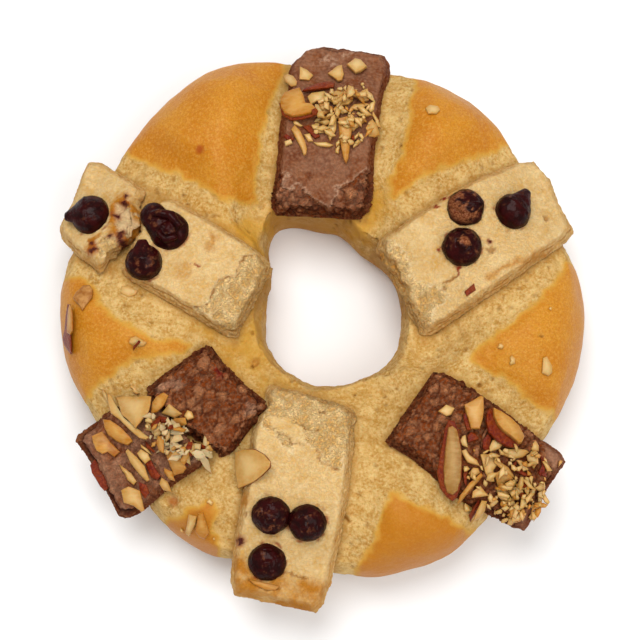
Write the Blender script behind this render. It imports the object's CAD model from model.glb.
"""The looks of the ring bread: baked dough, slabs of sugar paste, chocolate and almonds.

Sizes and places are in millimetres about the ring's own centre, and become metres in the
model's frame when a mesh is made. Masks that say where a crust, a crack or a stain is are
worked out from the shapes and stored on the meshes; the materials mix their colours with them.
"""

import math
import random
from collections import namedtuple

import bpy
import numpy as np
from mathutils import Matrix, Vector
from mathutils.bvhtree import BVHTree


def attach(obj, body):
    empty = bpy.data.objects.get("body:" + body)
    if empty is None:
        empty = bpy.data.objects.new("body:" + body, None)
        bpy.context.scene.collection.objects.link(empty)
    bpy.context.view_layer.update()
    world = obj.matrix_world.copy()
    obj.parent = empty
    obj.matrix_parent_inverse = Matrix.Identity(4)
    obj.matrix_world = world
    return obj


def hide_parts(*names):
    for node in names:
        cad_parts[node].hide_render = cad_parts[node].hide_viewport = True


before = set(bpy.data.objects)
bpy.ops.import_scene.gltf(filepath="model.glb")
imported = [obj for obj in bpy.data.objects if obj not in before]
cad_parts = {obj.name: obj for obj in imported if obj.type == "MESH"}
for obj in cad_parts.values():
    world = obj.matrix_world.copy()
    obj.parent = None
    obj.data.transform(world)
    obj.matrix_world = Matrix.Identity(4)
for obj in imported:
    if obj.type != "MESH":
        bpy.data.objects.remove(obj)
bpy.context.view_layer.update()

MM = 0.001
CENTRE = np.array((0.64, 3.75, 0.0))
TURN = 2.0 * math.pi
UP = (0.0, 0.0, 1.0)

# ------------------------------------------------ sizes shared with the part
# At angles round the ring: its outer radius, its hole's radius and its crest's height.
RING_STATIONS = np.array((
    (-4.0, 78.3, 23.3, 39.5), (28.0, 74.4, 24.0, 37.0), (58.0, 79.2, 23.0, 40.0),
    (87.0, 76.0, 27.0, 37.0), (115.0, 82.3, 31.2, 41.5), (151.0, 77.2, 18.8, 37.0),
    (181.0, 79.4, 18.0, 39.5), (213.0, 75.0, 19.5, 36.5), (240.0, 79.6, 21.0, 39.0),
    (263.0, 77.0, 22.3, 37.0), (291.0, 81.0, 22.7, 40.0), (325.0, 75.5, 24.8, 36.5),
))
CREST_SHARE = 0.47
OUTER_WAIST_HEIGHT = 14.0
HOLE_WAIST_HEIGHT = 9.0
OUTER_FOOT_TUCK = 10.0
HOLE_FOOT_TUCK = 4.5
OUTER_DOME_POWER = 2.35
HOLE_DOME_POWER = 2.6
TROUGH_CLEARANCE = 0.5
TROUGH_MARGIN = 2.5
TROUGH_RISE = 9.0
TROUGH_SIDE_START = -2.0
TROUGH_SIDE_END = 1.7 * TROUGH_RISE

# A slab's centre line has an angle and an offset, and runs from start to end. torn is its torn
# end: -1 its start, 1 its end. lumpy and dust, from 0 to 1, are how lumpy its crust is where it
# is whole, and how much sugar dust lies on it.
Slab = namedtuple("Slab", "name colour angle offset start end start_width middle_width"
                          " end_width start_skew end_skew thickness sink torn lumpy dust")
SLABS = (
    Slab("slab_cocoa_top", "cocoa", 82.9, 5.1, 26.3, 81.0,
         27.5, 29.5, 30.5, -1.6, 0.6, 5.5, 3.4, 0, 0.12, 0.2),
    Slab("slab_cream_upper_right", "cream", 33.1, -9.2, 20.5, 76.4,
         31.5, 32.5, 27.6, 2.8, 5.3, 6.0, 3.6, 0, 0.25, 0.0),
    Slab("slab_cocoa_lower_right", "cocoa", -32.7, -12.4, 37.4, 84.3,
         26.7, 27.5, 26.6, 1.1, 1.1, 5.5, 3.4, 0, 0.95, 0.0),
    Slab("slab_cream_bottom", "cream", -101.1, 2.9, 27.5, 89.0,
         24.3, 30.5, 27.5, 3.4, 0.5, 5.5, 3.6, 0, 0.12, 0.0),
    Slab("slab_cocoa_lower_left_inner", "cocoa", -136.0, -1.6, 33.6, 52.6,
         26.8, 27.4, 27.0, 0.4, 2.4, 5.8, 3.6, 1, 1.0, 0.0),
    Slab("slab_cocoa_lower_left_outer", "cocoa", -153.5, 15.6, 53.2, 82.0,
         25.3, 26.5, 26.4, -6.4, -0.9, 5.0, 3.4, -1, 0.5, 0.35),
    Slab("slab_cream_upper_left_inner", "cream", 149.8, 9.8, 17.9, 58.5,
         26.5, 27.5, 27.4, -1.3, -9.4, 5.5, 3.6, 1, 0.1, 0.0),
    Slab("slab_cream_upper_left_outer", "cream", 149.2, 11.0, 61.6, 81.8,
         27.4, 29.0, 28.0, -7.4, -6.7, 5.8, 3.2, -1, 0.2, 0.0),
)
SLAB_OF = {slab.name: slab for slab in SLABS}
SLAB_INNER_SLOPE = 0.42
SLAB_OUTER_SLOPE = 0.52
SLAB_PATH_MARGIN = 12.0
SLAB_PATH_STEPS = 361
# A distance inside an outline that stands for none at all.
FAR_OUTSIDE = -99.0

# ------------------------------------------------ tables
# Rows stand under the name of what they belong to, and go on in indented lines. An outline or
# a path is written as x,y points in millimetres.

# The washed golden patches, each an outline that runs out over the ring's edge.
GOLD_PATCHES = """
-56,45 -50,42 -43,39 -35,34 -29,31 -25,31 -23,31 -22,31 -21,32 -21,41 -19,50 -18,57 -16,63 -13,69
  -12,74
28,68 26,61 26,57 25,52 24,45 22,41 20,37 20,34 21,32 22,33 25,35 32,39 39,42 47,46 52,48
72,13 69,7 65,2 61,-2 56,-7 52,-10 50,-11 47,-13 45,-15 44,-17 44,-18 48,-21 52,-22 56,-25 59,-28
  63,-30 67,-32 69,-33
44,-66 41,-67 37,-65 35,-63 31,-62 26,-61 23,-59 20,-57 19,-58 17,-62 16,-66 15,-70 12,-74 10,-78
-31,-72 -31,-70 -32,-68 -32,-65 -32,-62 -32,-60 -33,-59 -34,-59 -36,-61 -39,-61 -41,-63 -44,-63
  -46,-63
-69,-27 -69,-25 -66,-23 -63,-22 -58,-19 -55,-17 -48,-16 -42,-15 -40,-13 -42,-12 -46,-12 -50,-12
  -53,-10 -58,-8 -62,-5 -66,-1 -68,4 -73,8
"""
# Marks on the slabs: a kind, then an outline.
PATCHES = """
slab_cocoa_top
rough -16.2,38.3 -13.6,38 -10.6,37.8 -12.3,35.8 -10.9,33.9 -7.9,34.9 -4.3,32.1 -1.9,30.7 1.5,28.7
  3.1,31.3 3.9,34.1 7.9,36.1 11.4,38.2 15.1,38.9 12.9,22.1 -18.9,24.4
bloom -0.7,76.5 1.6,77.4 3.9,75.7 4.3,73.7 3.1,72.2 1.6,73.1 -0.3,74.1
bloom -7.3,79 -3.8,80.6 -2.3,80.2 -3.8,78.6 -6.1,77.4
bloom 5.1,78.2 8.2,78.6 9.3,77.8 7,77.4 6.6,75.7 5.5,76.6
slab_cream_upper_right
rough 20.3,9.2 25.6,7.1 28.5,5.4 32.5,3.8 35,2.4 36.5,0.8 33.3,-2.2 31.3,-5.3 28.4,-11 24.3,-8.9
  22.4,1.7
rough 14.6,17 17.5,19.2 22.4,15.5 24.4,12.1 26,8 20.3,6.7 17.1,12.7
crust 21.8,21.9 31.9,27.3 33.8,20.4 34.1,13 38.2,8.6 37.4,6.2 34.1,4.9 30.5,5.6 26.3,8.2 27.3,11.9
  24.4,15.4 24,17.8
browned 16,15.2 17.7,14.7 20.5,11.6 22.4,7.5 21.6,7.1 19.5,10.5 17.1,13.1
browned 47.1,5.9 52.9,9.7 61.3,13.5 66.5,15.3 65.6,13.8 60.3,11.2 52.8,8.4 47.8,4.7
stain 34.1,30.5 35.1,31.1 36.3,30.7 35.9,29.6 34.5,28.8
stain 31.8,27.5 33.4,27.7 34,26.6 32.6,26.9
stain 47.6,17.3 48.5,17.5 48.8,16.5 48,16
stain 33.7,14.6 34.5,14.8 34.6,13.3 33.9,13.4
stain 39,9.2 40.2,9.4 40,8.2 39,7.2 38.1,6.6
pit 34.7,3.5 35.9,3.6 36.1,2.4 35.1,2.3
pit 65.2,26 67.1,25.8 66.6,24.8 65.5,24.9
pit 46.8,14.3 48.9,15.6 50.1,13.9 49.6,12.7 47.6,13.1
slab_cream_bottom
rough -17.8,-28.6 -13.2,-24.4 -8.6,-27.2 -2.1,-26.8 9.5,-31.9 8,-41.6 4.1,-50.5 0.7,-49 -2.9,-44
  -7.6,-40.8 -9.4,-45.4 -13,-43 -14.4,-39.3 -17.6,-38.8
browned -26.9,-73.8 -22.3,-73.6 -21.7,-76.4 -17.6,-81.4 -12.1,-79.1 -5.7,-80.1 -2.9,-81.9 0.9,-81.8
  0.7,-83.7 -3.3,-92.3 -9.4,-90.5 -25.8,-85.5
browned -23.5,-57.1 -21.4,-56.9 -21.4,-59.7 -22.4,-61 -23.9,-59.7
stain -25,-69.7 -23.8,-69.4 -23,-70.1 -24.1,-70.8
crust -15.6,-35 -10.9,-35.2 -8.5,-37.2 -5.6,-40.4 -6.2,-42.8 -9.3,-42.2 -10.6,-40 -13.2,-39.2
  -15.8,-37.8
slab_cocoa_lower_right
crust 65.9,-37.5 73,-45.1 58.6,-68.5 52.2,-67.5 61.3,-59.4 66.9,-50.5 63.2,-41.5
edge 62.7,-39.4 68.6,-41.9 71.6,-47.2 58.6,-67.3 54.4,-67 47.4,-64.6 51.8,-64.9 62.6,-61.8
  66.7,-52.7
slab_cocoa_lower_left_inner
pale -23.4,-32.5 -21.9,-30.9 -19.6,-31.4 -18.2,-33.2 -19.2,-34.8 -21.1,-34.5 -23,-35.3
red -31.8,-21.5 -30.5,-20.9 -29.1,-22.1 -29.5,-23.9 -31,-24.1
slab_cocoa_lower_left_outer
edge -39.6,-36.4 -35.3,-36.4 -32.2,-39.6 -30.2,-45.7 -32.1,-48.8 -38.3,-50.2 -39.1,-46.3 -36,-42.6
slab_cocoa_lower_left_inner
pale -51.7,-27.4 -46.6,-25.2 -41.6,-23.6 -40.4,-26 -42.3,-28.3 -44.7,-27.1 -47.8,-28.6 -50.1,-28.6
slab_cream_upper_left_inner
rough -20.6,14.4 -22.8,12.8 -24.9,10.5 -25.7,8.1 -24.8,7.6 -27.6,6.5 -29.6,6 -31.7,3.6 -33.1,1.4
  -33.7,-0.1 -34,-1.8 -35.7,-2.9 -37.8,-3.4 -34,-5.1 -27,-9.5 -19.5,-10.7 -16.6,3 -12.1,15.2
browned -43.5,9.2 -40,10.5 -39.9,6.5 -42.6,5.9
browned -32.9,18.8 -31.4,18.8 -31.7,16.1 -33.5,13.6 -34.7,14.2
stain -39.1,10 -38.2,10.1 -36.3,9.2 -36.5,8.9 -37.9,9.3
slab_cream_upper_left_outer
cavity -62.6,29.9 -60.2,29.6 -58.4,28.4 -56.3,27.2 -54.7,25.9 -54.6,22.8 -55.2,20 -56.8,17.3
  -58.7,18.6 -61,19.9 -62.3,23.4
caramel -63.1,30.7 -62,31.4 -59.5,32.3 -58.4,31.8 -60,29.9 -61.5,28.1 -61.9,24.6 -60.6,20.4
  -62.2,19.7 -63.6,19.6 -62.7,23.5
caramel -69.6,18.6 -68.3,19.6 -66.1,19.9 -67.1,18.2 -67.5,16 -66.9,14.7 -69.1,14.1 -69.8,16.2
caramel -56.2,26 -54.7,25.9 -55.3,22.8 -54.2,21.1 -55.9,17.3 -57.2,16.2 -57.8,18.5 -56,20
browned -72.9,13.7 -70.1,12.8 -65.5,8.9 -66,7.8 -69.9,9 -74.2,11.5
rough -66,18.7 -63.8,19.3 -61.1,18.2 -59.3,15.2 -61.9,12.6 -65.7,12.9 -67.3,15.9
"""
# Cracks across the slabs, each a path.
CRACKS = """
slab_cocoa_top
-2.3,80.9 -0.7,79.9 1.6,79.1 4.8,78.4
slab_cream_bottom
-13.6,-39.8 -10.4,-40.6 -9.4,-42.8 -6,-43.4
-8.1,-36.9 -5.5,-38.9 -3.2,-39.3 -1.4,-38.3
-2.9,-44.4 -0.2,-49 3.9,-50.7
-1.6,-33.8 1.2,-33.8
-13.1,-78.9 -8.5,-79.4 -5,-80.6
-21.5,-81.1 -19.5,-82.8 -16.2,-84 -13,-83.3
-24.9,-61.9 -22.6,-62.8
slab_cream_upper_left_inner
-20.6,13.6 -22.8,12.7 -24.9,10.5 -25.7,8.1
-24.8,7.6 -27.6,6.5 -29.6,6 -31.7,3.6 -33.1,1.4 -33.7,-0.1
-34,-1.8 -35.7,-2.9 -37.8,-3.4
slab_cream_upper_right
38.1,6.6 36.5,4.8 34.9,4.4
slab_cocoa_lower_left_inner
-36.9,-30.3 -34.6,-33.4 -36.1,-34.9
"""
# Specks of melted chocolate: a size, then places.
SPECKS = """
slab_cream_upper_left_outer
1 -57.9,31.3 -59.4,29.3 -61.8,25.8 -63,18.8 -58.2,13.2
1.1 -60.3,19.5 -59.9,18.2 -59.3,16.9 -58.8,15.9
1 -68.4,17.2 -67.6,15.3 -68.6,14.8
slab_cream_bottom
1.2 -24.1,-70.1
slab_cream_upper_right
0.7 48.3,16.7
"""
# Chips in the order in which they are laid: a kind, a thickness, and an outline of x,y points
# or small chips, each x,y,length,width,heading.
CHIPS = """
nut_bits_ring
gold 0.8 -21.8,-81 -20,-82.6 -17.2,-83.9 -14,-84.2 -12.7,-83 -18.4,-81.7
skin 0.8 42.5,2,4,2,45
nut_bits_top
skin 1.3 -6.4,51.5 -4.5,52 -2.2,50.5 -1.2,48.5 -2.6,47.7 -4.5,49.6
skin 0.9 -10.5,48,3.5,1.5,145
pale 1.2 -10.5,46.5,2.5,1.5,30 -8,52.5,3.5,1.5,140
flesh 1.5 -9.8,50.6 -8.7,52 -7,50.2 -5.7,47.2 -5,44.6 -5.2,43 -6,42.5 -7,45
pale 1.4 -7.3,72 -5.2,71 -3.2,69 -4.5,67 -7.4,67.3
flesh 1 -12.4,70 -11,70.4 -9.2,69 -8,66.5 -8.3,65 -9.8,65.2 -11.5,67.5
flesh 2 1,69.8 4,72.7 5.5,73 6,69.4 5.4,67.2 4.2,66.8
pale 2.6 6.8,73 9.3,75.5 11.2,75 13,72.4 11.2,70.7 9.4,69.8
skin 2.2 -6,63.5 -6.5,62.6 -3.8,63 3,64.4 3.2,66 1.2,66.6 -2.2,65.6
pale 1.8 -5,61 -3.8,62.3 0,63 1.2,61.7 0.8,60 1.5,58.8 -2.2,59.4 -4,58
gold 1.6 -2,59.3 -0.3,59.3 2.5,57.7 3,56.6 -0.2,55
pale 1.6 8,63.5,3.5,2.5,135
flesh 1.8 9.3,61.6 11.4,63.6 13,64.2 13.6,62 13.3,60 11.4,59.4
flesh 1.4 10.5,58,6,2,15
flesh 1.2 12.3,50.8 13.2,52.8 14.3,54 15.6,52.8 16.7,50 15,48.8 13.2,48.6
gold 1.6 10.5,53,3.5,2.5,40
pale 1.8 2,50,7,3,80 2.5,54,4.5,2,25 12,56,4.5,2,140
pale 1.3 -4.5,48,3,2,120 0,46,6.5,1.5,175 4,45,4,1.2,85 10,46.5,4.5,1,40 9.5,48.5,3,1,50
  15.5,54,5,1.5,120
almond_top_slice
flesh 2 0.8,61.5 2.9,62.9 5.4,63.9 7.3,62.4 8.6,59.9 7.2,58.5 4.9,57.9 2.7,59.1 0.9,60.1
almond_top_half
skin 1.4 -13.4,59.5 -12.6,55.5 -9.9,53.2 -6.6,53.1 -3.1,53.9 -1.1,55.4 -3.6,57.6 -6,58.4 -9,60
gold 2.6 -13,60.1 -11.9,62.3 -9.8,63.1 -7.3,63.6 -6,60.6 -5.5,58.2 -3.8,57.8 -1.9,55.6 -3.7,54.7
  -6.8,54 -9.5,54 -11.7,55.3 -12.9,57.6
almond_top_wedge
gold 2.2 4.1,53.8 6.4,54.3 8.8,54.7 9.1,53.4 8.4,51 7.8,47.4 7.6,45.1 7.2,41.7 6.5,40 5.8,41 5.2,44
  4.5,47.8
nut_bits_right
pale 1.8 32.6,-34 35,-32 37.5,-33 36.4,-35 35,-35.5 33.2,-34.4
pale 1.6 40,-42.5,3.5,2,100
skin 1.6 42.5,-41,3.5,2.5,20
cocoa 1.3 46,-40.5,7.5,1,70
skin 1.6 45.4,-44.2 45.5,-42 46.8,-40.2 48,-41 47.6,-43.8 47,-45.4
pale 1.5 47.4,-43.8 48.3,-41.8 49.8,-41.2 51.7,-42.4 50.6,-44 47.6,-45.2
almond_lower_right_skinned
skin 1.9 35.4,-36.8 37.2,-37.1 38.3,-39.8 39.1,-43.4 39.5,-47.8 39.4,-52.1 38.9,-55.6 37.9,-58.5
  36.7,-59.4 34.8,-58 33,-55.5 32.2,-51.2 33,-46.5 33.8,-42.8 34.4,-39.2
dull 2.6 35.3,-39.1 36.5,-38.6 37.8,-39.6 38.6,-42.8 39.1,-45.7 39.2,-49.3 38.9,-53.6 38.1,-56.5
  36.7,-57.7 35.1,-57.1 34.2,-54.3 34,-50.9 34.5,-45.1
almond_lower_right_wedge
skin 1.6 39.8,-35 40.7,-33.9 41.6,-37.2 42.1,-39.3 40.9,-39.4 40.2,-37.6
gold 2.2 40.1,-32 42.2,-31 44.9,-29.4 45.8,-29.7 45.8,-33.9 45.5,-36.2 44.5,-39.1 41.9,-39.1
  41.4,-36.9 40.5,-34
almond_lower_right_half
skin 3 46.6,-34 48.4,-32.7 50.8,-33.4 53.5,-35.4 56.4,-38.4 57.5,-41.2 56.2,-42.9 55.4,-43.8
  52.8,-43.7 49.7,-42.5 47,-40.1 46.2,-36.9
gold 4.6 48.3,-33.2 50.7,-34 53.4,-35.5 56.1,-37.7 57.7,-40.7 56.8,-42.6 55.7,-42.8 53.4,-41
  51.1,-39.7 49.5,-37.9 48.4,-35.6
nut_bits_right
flesh 1.8 39,-45.2 40.6,-44.6 41.7,-46.2 43.8,-47.6 44.7,-49.3 41,-48.4
flesh 1.8 44.7,-46 46,-45.5 49.4,-46.5 50,-48.6 48.7,-50.2 49,-53.4 47.6,-53.5 46.2,-51
skin 1.5 57.5,-50.5,7.5,1.5,155
flesh 1.2 52,-49.5,8.5,2,145
gold 1.8 49,-51.2 51,-49.8 54,-51.3 54.7,-52.4 52.5,-53.2 51.5,-54.7 50,-54.5
flesh 1.8 50.8,-45.4 52,-44.2 55.2,-43.7 58.6,-43.8 59.6,-44.6 57.5,-46 54.4,-46.7
flesh 1.8 61,-43,3,3,105
pale 1.8 57.5,-48.5,4.5,2,130 60.8,-47,4,3,100
skin 1.4 62.5,-45 64,-46.2 64,-50.3 62.7,-51.5 62,-50.3 63.2,-48.4
flesh 1.1 64.5,-48.5,4,1.5,130 68.5,-47.5,2.5,1,60
skin 1.5 40.5,-52,5.5,1.5,85
flesh 1.6 43,-51,3.5,2.5,10 44.5,-56.5,4.5,3,15
skin 1.5 43.5,-61,6,1.5,65
flesh 1.8 45.3,-58.7 47,-58.7 46.6,-61.3 45,-63.5 43,-64.4 43.8,-61.8
pale 1.3 41,-60.5,2.5,2,125
gold 1.5 41.5,-55.5,11.5,2,50 55,-57.5,9.5,1.5,45
nut_bits_left
pale 1.2 -55.5,-26,3.5,1.5,135
almond_lower_left_fan
flesh 1.8 -60.8,-28.2 -58.1,-28 -54.9,-28.8 -51.7,-28.7 -49.8,-29.2 -50,-31.6 -50.5,-34 -52.4,-36
  -54.3,-38.4 -56.5,-35.8 -58.9,-33.7 -59.8,-30.9
nut_bits_left
pale 1.2 -64,-28,5,1,115
almond_lower_left_tilted
gold 2 -64.5,-34.7 -62.2,-35.1 -58.9,-37.4 -56.1,-40.3 -55.4,-41.5 -56.9,-42.6 -60.2,-41.3 -63,-39.2
  -64.1,-37.1
almond_lower_left_strip
flesh 1.6 -63.8,-26.4 -62.2,-27.6 -60.5,-30.9 -59.3,-33.6 -56.1,-36.4 -52.9,-38.9 -50.4,-41
  -51.2,-41.7 -53.3,-41.1 -56.5,-38.1 -59.8,-34.8 -62.2,-33 -63.1,-29.9
nut_bits_left
caramel 1.3 -67.8,-39.4 -64.7,-38 -62.2,-41.3 -59.3,-44.2 -61,-45.7 -63,-44.2 -64.5,-44.8
  -66.2,-43.8 -67.4,-41.3
gold 1.8 -49.7,-31 -48.5,-29.4 -46.2,-28.3 -44.7,-29.4 -46,-32 -48,-33.7 -50,-34.2
flesh 1.8 -47,-34 -44.5,-31.8 -43,-33 -40.6,-34.8 -43,-35.5
pale 1.8 -38.5,-35,3,2.5,145
caramel 1.6 -44.4,-36.4 -43,-35.4 -39.8,-35.7 -39.4,-37.4 -42.2,-38
skin 1.4 -46.5,-36,3.5,2,165
skin 1.6 -44.5,-45.5 -43.5,-44.5 -41.8,-45.2 -39.7,-47 -38.8,-49.6 -41.4,-48
gold 2.2 -45.3,-46.5 -44,-45.3 -41.7,-46.3 -39.4,-50 -40.5,-51.2 -43.3,-51.8
gold 1.6 -44.5,-51.5,4.5,2,135
skin 1.6 -51.8,-48 -50,-47 -48.4,-49.8 -47,-51.8 -48,-53 -50,-52
pale 1.8 -54.2,-45 -53,-43.8 -50.8,-45.2 -50,-47 -51.7,-48.2 -53.4,-46.5
flesh 1.2 -51.5,-44,5,1,140
skin 1 -50.5,-43.5,5,1,135
almond_lower_left_blade
flesh 2.2 -57.6,-44.4 -56.9,-43.6 -54.1,-46.1 -51.7,-48.9 -50.3,-52.8 -51.2,-53.3 -53.7,-50.8
  -56.2,-47.5
nut_bits_left
flesh 1.2 -57,-51,7.5,2,135
skin 1.2 -53.8,-53 -51.3,-54 -50.4,-56.4 -51.8,-58 -53.4,-55.6
flesh 1.8 -58.7,-55.5 -56.5,-54.4 -53.2,-55.6 -52,-61 -53,-61.5 -55.2,-59.8 -58,-59
flesh 1.3 -45.5,-54.5,4.5,2.5,135
pale 1.5 -34,-43.5,3,1.5,160 -36,-46.5,3.5,2.5,165 -39,-44,3,3,115
almond_bottom_tip
skin 1.4 -23,-44.2 -19.8,-44.6 -16.9,-46.5 -15.1,-48.8 -15.2,-50.5 -17.4,-52.5 -20.2,-54.3
  -24.8,-55.7 -25.1,-55 -20.4,-53.7 -17.7,-52 -15.8,-50.1 -15.7,-49 -17.4,-47 -20,-45.2 -23,-44.7
flesh 1.8 -25.8,-45 -23,-44.4 -19.8,-44.9 -17.1,-46.7 -15.2,-49 -15.5,-50.4 -17.5,-52.4 -20.2,-54.2
  -24.8,-55.6 -25.3,-52.8 -25.8,-49.2
almond_rim_stick
skin 2.2 -75.6,-0.6 -74.6,-1 -74.4,-5.1 -74.4,-9.7 -74.2,-14.6 -75,-14.6 -77.2,-11.5 -77.7,-9.5
  -76.9,-7.2 -76.3,-3
gold 2.6 -75.2,-2.1 -74.6,-1.2 -73.8,-2.4 -73.4,-5.5 -73.6,-8.9 -74.6,-9.6 -75.9,-8.6 -75.9,-7.4
  -75.6,-4.4
nut_bits_ring
skinpale 1.4 -74,1.2 -73,3 -71,5 -69,5 -68,3.4 -68,1 -70,-1.7 -70.8,-3.2 -71.7,-1.7
cream 0.7 -60,2.6 -59.6,4.5 -57.5,4.6 -54.7,3 -55.4,1.8 -57.4,1
pale 1 -56.7,-13.3 -56.2,-12 -54.7,-11.4 -51.6,-13 -52.4,-14 -54.7,-14.4
skin 1.5 -54.5,-14,3.5,1,50
flesh 2 -39,-62.5 -36.7,-63.3 -37.2,-65.5 -39.2,-68.3 -40.3,-67.4
gold 2 -36.2,-62.3 -34.8,-62 -33.2,-67.5 -34.6,-69.3 -36.2,-68.7 -37.4,-67.2
pale 0.8 -33,-59,2,1.5,155 -41.5,-66.5,1.5,0.8,135 -32,-69,0.8,0.7,100 54.5,-18.5,2.5,2.2,110
  51,-14.5,2,1.8,25 66,-3,1,0.9,90
pale 1 63.6,-17.5 64.8,-17 66.4,-19.5 66.5,-21.4 65.2,-22.4 63.3,-21.7
pale 1 30.2,58.2 31.6,59.4 34,58.8 34.5,57.4 33.3,56 31,56
"""
# Heaps of crumbs: a seed, a count, the largest size, and an outline.
CRUMB_ZONES = """
nut_bits_top
11 90 1.2 -2.2,58.9 6.5,65.9 12.3,66.6 14.1,60 15.1,51.6 11.3,46.5 -0.7,45.3 -3.8,50
nut_bits_right
12 120 1.2 47,-58.6 50,-54.8 55.4,-52.8 61,-52 64.3,-53.1 64.6,-56.4 64.1,-61.3 59.2,-63.8
  54.4,-64.8 51.8,-63.6 49.3,-61.4 47.2,-60.2
13 45 1.2 39.8,-44.3 45.8,-45.1 59.2,-43.2 66.3,-47.2 65.4,-53.1 50,-54.8 42.4,-58.1 39.8,-51.8
nut_bits_left
14 90 1.4 -50.6,-34.4 -46.2,-36.1 -40,-38.3 -39.1,-42.1 -32.6,-42.6 -31.2,-45.7 -34.4,-48.7
  -39.1,-48.6 -46.2,-45.3 -49.4,-43.5 -51.4,-39.6
"""
# Where a slab's edge is pulled from its plain shape: x,y,reach and the pull along x and y.
TUGS = """
slab_cocoa_top
-10.1,83.2,6.5,2.4,-3.2 -13.5,32,5,-1.2,-0.3 14,33,8,1.6,-0.4 -10.5,66,6,0.9,0 19,72,5,1.3,-0.4
slab_cream_upper_right
15.5,20,5,-1.3,0.8 71.5,24.5,6,1.7,0.3 61,45,5,-1.8,-0.6 68,37,5,1.2,0.8
slab_cocoa_lower_right
62,-67,7,1.6,-1.6 18,-37,6,-1,-1.8 40,-54,10,-1,-2
slab_cream_bottom
-13.5,-22,7,-3.8,0 -17,-38,8,-2,0 10,-28,6,1.5,0
slab_cocoa_lower_left_inner
-46,-20.5,8,-6.6,-3.4 -30.5,-39,7,0.8,-3.8 -17.5,-28,6,2.3,-0.5 -34.5,-10,6,1.1,1.3 -40,-31,8,-3,-3
slab_cocoa_lower_left_outer
-61.5,-30,9,-1.8,2.4 -73,-38,6,-1.4,0 -54,-62,9,1,-2.2 -60.5,-65,6,0.4,-1
slab_cream_upper_left_inner
-52,36,9,6.4,-3.4 -58.3,9,7,-2.6,1.5
slab_cream_upper_left_outer
-68,45,5,1.8,0 -54.5,36,6,2.9,-2.2 -57.5,22,7,5.6,0.2 -77.5,18.5,4.5,1.4,1.2 -77,24,5,-1.8,0
  -61.5,8.8,5.5,-4.2,-1.2
"""

# lean is how far the tip lies from the middle, towards heading; scuff is how rubbed it is.
Drop = namedtuple("Drop", "name slab x y radius height lean heading scuff")
DROPS = (
    Drop("drop_upper_left_1", "slab_cream_upper_left_outer", -68.8, 26.0, 5.9, 6.8, 7.0, 188, 0.1),
    Drop("drop_upper_left_2", "slab_cream_upper_left_inner", -45.4, 19.7, 5.7, 4.6, 0.6, 135, 0.2),
    Drop("drop_upper_left_3", "slab_cream_upper_left_inner", -52.5, 10.1, 5.4, 6.4, 6.1, 92, 0.35),
    Drop("drop_upper_right_1", "slab_cream_upper_right", 41.5, 26.6, 5.5, 5.6, 4.4, -85, 1.0),
    Drop("drop_upper_right_2", "slab_cream_upper_right", 40.3, 14.9, 5.7, 6.2, 0.4, 0, 0.55),
    Drop("drop_upper_right_3", "slab_cream_upper_right", 55.2, 25.8, 5.4, 6.6, 7.4, 56, 0.2),
    Drop("drop_bottom_1", "slab_cream_bottom", -15.2, -63.0, 5.5, 5.8, 0.6, -60, 0.45),
    Drop("drop_bottom_2", "slab_cream_bottom", -4.8, -65.1, 5.5, 6.0, 0.9, -120, 0.4),
    Drop("drop_bottom_3", "slab_cream_bottom", -16.4, -75.9, 5.4, 5.8, 0.8, -90, 0.25),
)


def table_rows(table):
    """A table's rows, each with the name that it stands under and its words."""
    name = None
    for line in table.strip().replace("\n ", " ").splitlines():
        words = line.split()
        if len(words) == 1 and "," not in line:
            name = line
        else:
            yield name, words


def rows_of(table, wanted):
    """The rows that stand under a name."""
    return [words for name, words in table_rows(table) if name == wanted]


def outline(words):
    """Rows of numbers from words such as "x,y"."""
    return np.array([[float(part) for part in word.split(",")] for word in words])


# ------------------------------------------------ noise
WAVE_GAIN = 1.3
GRADIENTS = np.array([
    (1, 1, 0), (-1, 1, 0), (1, -1, 0), (-1, -1, 0), (1, 0, 1), (-1, 0, 1),
    (1, 0, -1), (-1, 0, -1), (0, 1, 1), (0, -1, 1), (0, 1, -1), (0, -1, -1),
    (1, 1, 1), (-1, -1, 1), (1, -1, -1), (-1, 1, -1),
], float)


def scramble(cell, seed):
    """Pseudo-random whole numbers for cells of a lattice."""
    mixed = cell[..., 0] * 374761393 + cell[..., 1] * 668265263 + cell[..., 2] * 2147483647
    mixed = (mixed + seed * 974634777) & 0xFFFFFFFF
    mixed = ((mixed ^ (mixed >> 13)) * 1274126177) & 0xFFFFFFFF
    mixed = ((mixed ^ (mixed >> 16)) * 461845907) & 0xFFFFFFFF
    return mixed ^ (mixed >> 15)


def wave(points, size, seed=0):
    """Gradient noise from about -1 to 1, with bumps about a size apart."""
    spots = points / size + 0.37 * seed
    cell = np.floor(spots).astype(np.int64)
    share = spots - cell
    ease = share**3 * (share * (share * 6.0 - 15.0) + 10.0)
    total = np.zeros(len(points))
    for corner in np.ndindex(2, 2, 2):
        corner = np.array(corner)
        pull = GRADIENTS[scramble(cell + corner, seed) & 15]
        weight = np.prod(np.where(corner == 1, ease, 1.0 - ease), axis=1)
        total += weight * np.sum(pull * (share - corner), axis=1)
    return total * WAVE_GAIN


def waves(points, size, octaves, seed=0, keep=0.5):
    """Several layers of noise, each half the size of the last."""
    total = np.zeros(len(points))
    height = 1.0
    for octave in range(octaves):
        total += height * wave(points, size, seed + 17 * octave)
        size *= 0.5
        height *= keep
    return total


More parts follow.
